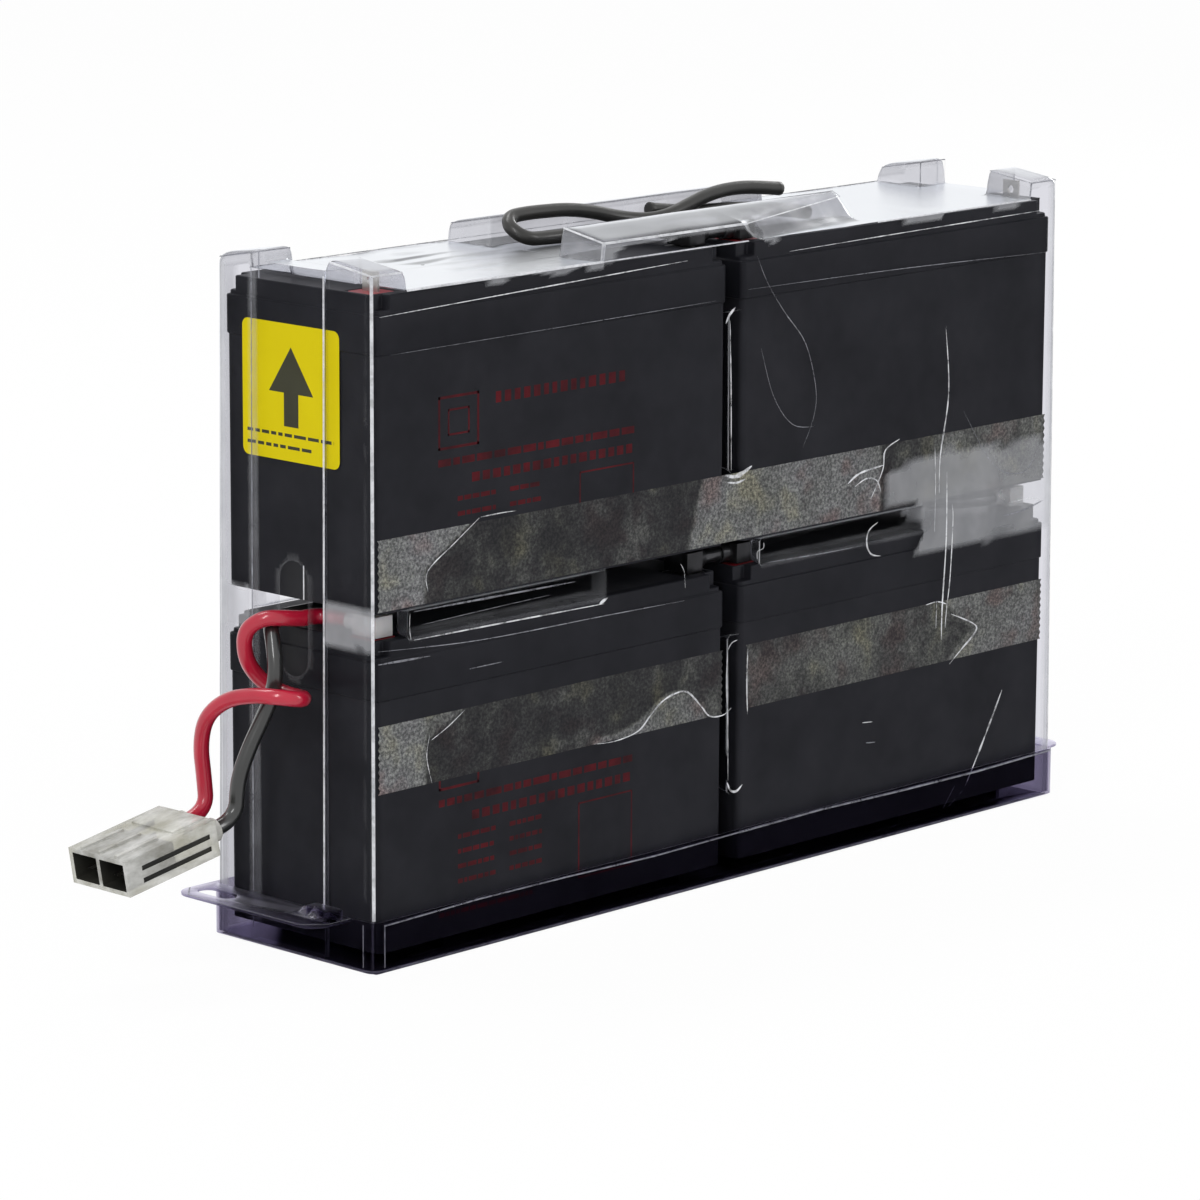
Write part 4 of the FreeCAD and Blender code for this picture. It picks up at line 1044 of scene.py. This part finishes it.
def smoothed(formed, pairs, faces, rest):
    """Round the form's bends; gives the new places and how much each one bends."""
    count = len(formed)
    used = np.zeros(count, bool)
    used[pairs.ravel()] = True
    rim = edge_vertices(pairs)
    for number in np.nonzero(rim)[0]:
        x, y, z = rest[number]
        away, middle = slot_away(y, z)
        if x < -END + 0.01 and abs(away - SLOT_HALF) < 0.62:
            formed[number][1] = SLOT_Y + (y - SLOT_Y) * SLOT_HALF / away
            formed[number][2] = middle + (z - middle) * SLOT_HALF / away
    places = relaxed(formed, pairs, rim | ~used)
    normals = np.zeros_like(places)
    for face in faces:
        a, b, c, d = places[face]
        normal = np.cross(c - a, d - b)
        normals[face] += normal / (np.linalg.norm(normal) + TINY)
    normals /= np.linalg.norm(normals, axis=1)[:, None] + TINY
    bend = np.abs(np.einsum("ij,ij->i", places - formed, normals))
    # The edge value paints the film pale where it bends: partly whitening, partly a painted
    # highlight of the light the bends catch. It is left off the front wall near its middle ribs,
    # weakened on the front wall from 90 to 190 mm high, and set half pale along the sheet's cut
    # edges.
    edge = np.clip((bend - 0.03) / 0.16, 0, 1) ** 1.3
    pockets = (np.abs(rest[:, 1] + SIDE) < 0.01) & (rest[:, 2] < 190)
    edge[pockets & (np.abs(rest[:, 0]) < 8)] = 0
    edge[pockets & (rest[:, 2] > 90)] *= 0.4
    edge[edge < 0.12] = 0
    edge[rim & used] = 0.5
    return places, edge


def relaxed(formed, pairs, fixed):
    """Draw each free point half way to the middle of its neighbours, three times."""
    degree = np.zeros(len(formed))
    np.add.at(degree, pairs.ravel(), 1)
    degree[degree == 0] = 1
    places = formed.copy()
    for _ in range(3):
        total = np.zeros_like(places)
        np.add.at(total, pairs[:, 0], places[pairs[:, 1]])
        np.add.at(total, pairs[:, 1], places[pairs[:, 0]])
        moved = places + 0.5 * (total / degree[:, None] - places)
        moved[fixed] = places[fixed]
        places = moved
    return places


def edge_vertices(pairs):
    """The vertices on the open edges of a sheet of faces."""
    keys = np.sort(pairs, axis=1)
    values, counts = np.unique(keys, axis=0, return_counts=True)
    rim = np.zeros(pairs.max() + 1, bool)
    rim[values[counts == 1].ravel()] = True
    return rim


# ---- tapes, label, prints
CASE_FRONT = -32.1


def make_tape(node, material, frost):
    """A strip of tape with toothed cut ends; frost gives how milky it is at an X and Z."""
    low, high = box_of(node)
    columns, rows = int((high.x - low.x) / 1.2), 18
    middle = (low.y + high.y) / 2
    tooth = 0.7
    work = bmesh.new()
    earlier = None
    for column in range(columns + 1):
        x = low.x + (high.x - low.x) * column / columns
        line = []
        for row in range(rows + 1):
            z = low.z + (high.z - low.z) * row / rows
            place = Vector((x, middle + 0.05 * noise.noise(Vector((x, 0, z)) * 0.3), z))
            if column in (0, columns) and row % 2:
                place.x += tooth if column == 0 else -tooth
            line.append(work.verts.new(place * MM))
        if earlier:
            join_rows(work, earlier, line)
        earlier = line
    tape = mesh_object(f"{node}_strip", work, material)
    paint_values(tape, "frost",
                 [frost(vertex.co.x / MM, vertex.co.z / MM) for vertex in tape.data.vertices])
    shade_smooth(tape, 60)
    return dress(tape, "frosted_tape", node)


def mottle(x, z, scale, seed):
    """Soft spots of milkiness over a tape."""
    return max(0.0, noise.noise(Vector((x * scale, seed, z * scale))))


def upper_frost(x, z):
    end = -135.1 + 1.65 * max(0.0, z - 118.2)
    return (0.24 * blob(x, -160, end, 0.8) + 0.19 * blob(x, -16 + 0.3 * (z - 120), 70, 2.5)
            + 0.12 * blob(x, 98, 160, 6) + 0.08 * mottle(x, z, 0.06, 3) - 0.01)


def lower_left_frost(x, z):
    curve = 55 + 9 * math.exp(-((x + 27) / 13) ** 2)
    wedge = blob(x, -134, -134 + 1.9 * max(0.0, z - 66), 1.0) * blob(z, 67.5, 80, 0.8)
    return (0.24 * blob(x, -160, -135, 0.8) + 0.12 * wedge
            + 0.17 * blob(x, -62, -13, 2) * blob(z, 40, curve, 0.8)
            + 0.08 * mottle(x, z, 0.07, 9) - 0.01)


def lower_right_frost(x, z):
    edge = 104.4 + 1.5 * (z - 52.6) if z < 62 else 119 - 1.4 * (z - 62)
    return (0.04 + 0.03 * blob(x, 40, 75, 8) + 0.11 * blob(x, edge, 160, 1.5)
            + 0.06 * mottle(x, z, 0.07, 5))


def make_label(material, ink):
    """The yellow label with its arrow and two plain lines of bars under it."""
    low, high = box_of("direction_label")
    thickness = 0.08

    def place(u, v, depth):
        return Vector((high.x - depth, u, v))

    def inked(u, v, depth):
        return place(u, v, thickness + depth)

    outline = rounded_rectangle(low.y, high.y, low.z, high.z, 2.4)
    label = outlined_plate("direction_label_sheet", outline, material, thickness, place)
    dress(label, "yellow_label", "direction_label")
    middle, shaft, head = 3.6, 3.1, 9.5
    foot, shoulder, tip = 158.8, 168.8, 182.6
    arrow = [(middle - shaft, foot), (middle + shaft, foot), (middle + shaft, shoulder),
             (middle + head, shoulder), (middle, tip), (middle - head, shoulder),
             (middle - shaft, shoulder)]
    dress(outlined_plate("direction_arrow", arrow, ink, 0.03, inked), "battery_case")
    marks = []
    lengths = random.Random(4)
    for v, first, last in ((156.2, 22.6, -14.6), (152.6, 22.6, -5.0)):
        u = first
        while u > last:
            run = min(lengths.uniform(1.6, 5.4), u - last)
            marks.append((u - run, v - 0.5, u, v + 0.5))
            u -= run + 0.9
    print_marks("direction_lines", marks, ink, inked, "battery_case")


def print_marks(name, marks, material, place, slot):
    """Many small printed bars in one piece; each mark is u0, v0, u1, v1."""
    work = bmesh.new()
    for u0, v0, u1, v1 in marks:
        corners = [(u0, v0), (u1, v0), (u1, v1), (u0, v1)]
        work.faces.new([work.verts.new(place(u, v, 0.02) * MM) for u, v in corners])
    return finish_sheet(name, work, material, slot)


def outline_marks(u0, v0, u1, v1, line):
    """The four bars round a box."""
    return [(u0, v0, u1, v0 + line), (u0, v1 - line, u1, v1), (u0, v0, u0 + line, v1),
            (u1 - line, v0, u1, v1)]


def make_case_print(name, left, floor, material, seed):
    """Plain bars and boxes in dull red on a case's front face."""
    chance = random.Random(seed)

    def place(u, v, depth):
        return Vector((left + u, CASE_FRONT - depth, floor + v))

    marks = []

    def text_line(u0, u1, v, height, word):
        u = u0
        while u < u1 - 1:
            run = min(chance.uniform(*word), u1 - u)
            marks.append((u, v, u + run, v + height))
            u += run + height * 0.45

    marks += outline_marks(0, 44, 17, 60, 0.8)
    marks += outline_marks(4, 48, 13, 56, 0.6)
    text_line(24, 82, 55.5, 3.4, (2, 3.2))
    text_line(0, 84, 39, 2.2, (2, 7))
    text_line(14, 84, 33, 2.8, (2.2, 3.4))
    for row in range(4):
        for start, end in ((8, 24), (30, 44)):
            text_line(start, end, 28 - 4.6 * row, 1.4, (1.2, 4))
    marks += outline_marks(60, 6, 84, 30, 0.5)
    text_line(0, 40, 5, 1.3, (1.2, 5))
    return print_marks(name, marks, material, place, "battery_case")


# ---- put it all together
CONNECTOR_BACK = Vector((-185.5, 11.5, 42.0))
CONNECTOR_TILT = math.radians(10)


def paint_housing_shade(piece, material):
    """Paint shade into the connector's two cavities and its side grooves: their faces take a
    near-black material, a painted shade for the dark inside.
    """
    piece.data.materials.append(material)
    dark = len(piece.data.materials) - 1
    turn = Matrix.Rotation(CONNECTOR_TILT, 3, "Y")
    for face in piece.data.polygons:
        x, y, z = turn @ (face.center / MM - CONNECTOR_BACK)
        cavity = -39.6 < x < -19.0 and 0.3 < abs(y) < 11.25 and abs(z) < 4.35
        groove = -34.5 < x < -6.5 and 11.6 < abs(y) < 12.35
        if cavity or groove:
            face.material_index = dark


def make_blades(material):
    """The two flat blades that show inside the connector's mouth."""
    turn = Matrix.Rotation(-CONNECTOR_TILT, 3, "Y")
    work = bmesh.new()
    for side in (-1, 1):
        ends = [turn @ Vector((along, side * 5.8, -0.4)) + CONNECTOR_BACK
                for along in (-38.6, -30)]
        ribbon(work, ends, (0, 0, 1), 2.2, even=True)
    return finish_sheet("connector_blades", work, material, "tinned_brass")


def paint_nodes(names, material):
    """Give CAD nodes that are seen as they are their material."""
    for name in names:
        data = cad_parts[name].data
        data.materials.clear()
        data.materials.append(material)


def make_wiring(red, black, brass):
    """The connector, its two leads and the two cut cables on the roof."""
    housing = softened("connector_housing", "housing_nylon", clear_nylon("housing_nylon_body"),
                       0.35)
    # The cavities and grooves are painted near-black, a painted shade.
    paint_housing_shade(housing, moulded("housing_hollow_painted_shade", (0.01, 0.01, 0.009),
                                    (0.035, 0.034, 0.028), 0.4, specular=0.2))
    contacts = ["connector_contact_positive", "connector_contact_negative"]
    paint_nodes(contacts, brass)
    on_leads = [housing, make_blades(brass), *contacts]
    lead_size, cable_size = 4.8, 4.4
    red_cord = make_cord("red_lead", RED_LEAD, lead_size, "red_insulation", red)
    black_cord = make_cord("black_lead", BLACK_LEAD, lead_size, "black_insulation", black)
    grey = moulded("grey_insulation_skin", (0.011, 0.011, 0.01), (0.024, 0.023, 0.021), 0.36,
                   grain=500.0, depth=0.00003, coat=0.18, specular=0.4)
    core = moulded("cut_strands", (0.03, 0.02, 0.015), (0.07, 0.045, 0.03), 0.45, metallic=0.6)
    for name, route, length in (("top_loop_cable", TOP_LOOP, 0.1835),
                                ("top_tail_cable", TOP_TAIL, 0.0578)):
        cable = make_cord(name, route, cable_size, "black_insulation", grey)
        cut_end = make_cut_end(f"{name}_cut_end", route, cable_size, grey, core)


def dress_batteries(brass):
    """The four batteries with their lids, vents, tabs and seals."""
    case = moulded("case_plastic", (0.015, 0.0155, 0.018), (0.026, 0.0265, 0.03), 0.5,
                   depth=FINEST, specular=0.12)
    lid = moulded("lid_plastic", (0.01, 0.0105, 0.013), (0.018, 0.0185, 0.022), 0.42,
                  depth=FINEST, specular=0.15)
    vent = moulded("vent_plastic", (0.008, 0.008, 0.0095), (0.013, 0.0135, 0.015), 0.5,
                   depth=FINEST, specular=0.15)
    red_seal = moulded("red_seal_resin", (0.3, 0.012, 0.02), (0.45, 0.02, 0.03), 0.35)
    black_seal = moulded("black_seal_resin", (0.01,) * 3, (0.02,) * 3, 0.3)
    for row in ("lower", "upper"):
        for side in ("left", "right"):
            name = f"{row}_{side}"
            softened(f"{name}_lid", "battery_lid", lid, 0.45)
            for part, material in (("case", case), ("vent_cover", vent),
                                   ("positive_seal", red_seal), ("negative_seal", black_seal),
                                   ("positive_tab", brass), ("negative_tab", brass)):
                paint_nodes([f"{name}_{part}"], material)


def dress_links(red, black):
    """The boots, links and lead ends behind the cover's near wall."""
    nylon = moulded("white_nylon_boot", (0.62, 0.61, 0.57), (0.74, 0.73, 0.7), 0.4,
                    subsurface=0.1)
    for boot in ("red_lead_boot", "black_lead_boot"):
        softened(boot, "white_nylon", nylon, 0.4)
    dark_nylon = moulded("dark_nylon_boot", (0.01,) * 3, (0.02,) * 3, 0.3, specular=0.4)
    for name in ("lower_left", "lower_right", "upper_left", "upper_right"):
        softened(f"{name}_link_boot", "black_insulation", dark_nylon, 0.4)
    paint_nodes(["lower_link", "upper_link", "black_lead_inside"], black)
    paint_nodes(["red_lead_inside"], red)


def make_prints():
    """The tapes, the label and the plain printed marks on the cases."""
    tape = frosted_tape("tape_film")
    make_tape("upper_tape", tape, upper_frost)
    make_tape("lower_left_tape", tape, lower_left_frost)
    make_tape("lower_right_tape", tape, lower_right_frost)
    yellow = moulded("yellow_label_ink", (0.9, 0.74, 0.002), (0.94, 0.78, 0.003), 0.45,
                     grain=300.0, depth=0.00001, specular=0.12)
    ink = moulded("dark_label_ink", (0.06, 0.06, 0.036), (0.075, 0.075, 0.045), 0.5,
                  specular=0.12)
    make_label(yellow, ink)
    red_ink = moulded("red_case_ink", (0.035, 0.008, 0.01), (0.14, 0.01, 0.014), 0.5,
                      patch=90.0, specular=0.12)
    make_case_print("upper_left_print", -129, 109, red_ink, 3)
    make_case_print("lower_left_print", -129, 6, red_ink, 8)


def make_films():
    """The clear cover and the tray with their creases and folds."""
    milky = ((0.46, 0.47, 0.5), (0.6, 0.61, 0.64))
    violet = ((0.48, 0.42, 0.5), (0.58, 0.52, 0.61))
    make_cover(clear_film("cover_film", (0.85, 0.85, 0.88), (0.42, 0.42, 0.45),
                          (0.92, 0.94, 0.97), -0.03, milky))
    # The crease and fold strips are partly whitening and partly painted highlights of the light the
    # bends catch.
    crease = whitening_and_highlight("crease_whitening_and_highlight", (0.52, 0.53, 0.56), (0.82, 0.83, 0.86), 0.25)
    fold = whitening_and_highlight("fold_whitening_and_highlight", (0.5, 0.51, 0.54), (0.76, 0.77, 0.8), 0.62)
    dim = whitening_and_highlight("crease_grey", (0.12, 0.12, 0.14), (0.3, 0.31, 0.35), 0.4)
    make_creases("cover_creases", CREASES, crease)
    make_creases("cover_dim_creases", DIM_CREASES, dim)
    make_folds("bright_fold_lines", bright_folds(), fold)
    make_folds("dim_fold_lines", dim_folds(), dim)
    make_folds("tray_fold_lines", tray_folds(), dim)
    make_flange_crumple(clear_film("flange_crumple_film", (0.62, 0.6, 0.72),
                                   (0.45, 0.44, 0.55), (0.9, 0.88, 1.0), 0.1, milky))
    tray_film = clear_film("tray_film", (0.66, 0.64, 0.71), (0.52, 0.5, 0.58),
                           (0.84, 0.82, 0.94), -0.03, violet)
    softened("bottom_tray", "tray_film", tray_film, 0.3)


def main():
    bpy.context.scene.view_settings.view_transform = "Standard"
    make_camera()
    make_lamps()
    make_world()
    make_floor()
    brass = moulded("tinned_metal", (0.55, 0.53, 0.48), (0.68, 0.66, 0.6), 0.3, metallic=1.0)
    red = moulded("red_insulation_skin", (0.38, 0.006, 0.026), (0.5, 0.01, 0.038), 0.3,
                  grain=500.0, coat=0.8, specular=0.25)
    black = moulded("black_insulation_skin", (0.006, 0.0065, 0.0065), (0.018, 0.019, 0.0185),
                    0.3, grain=500.0, coat=0.9, specular=0.4)
    make_wiring(red, black, brass)
    dress_batteries(brass)
    dress_links(red, black)
    make_prints()
    make_films()


main()
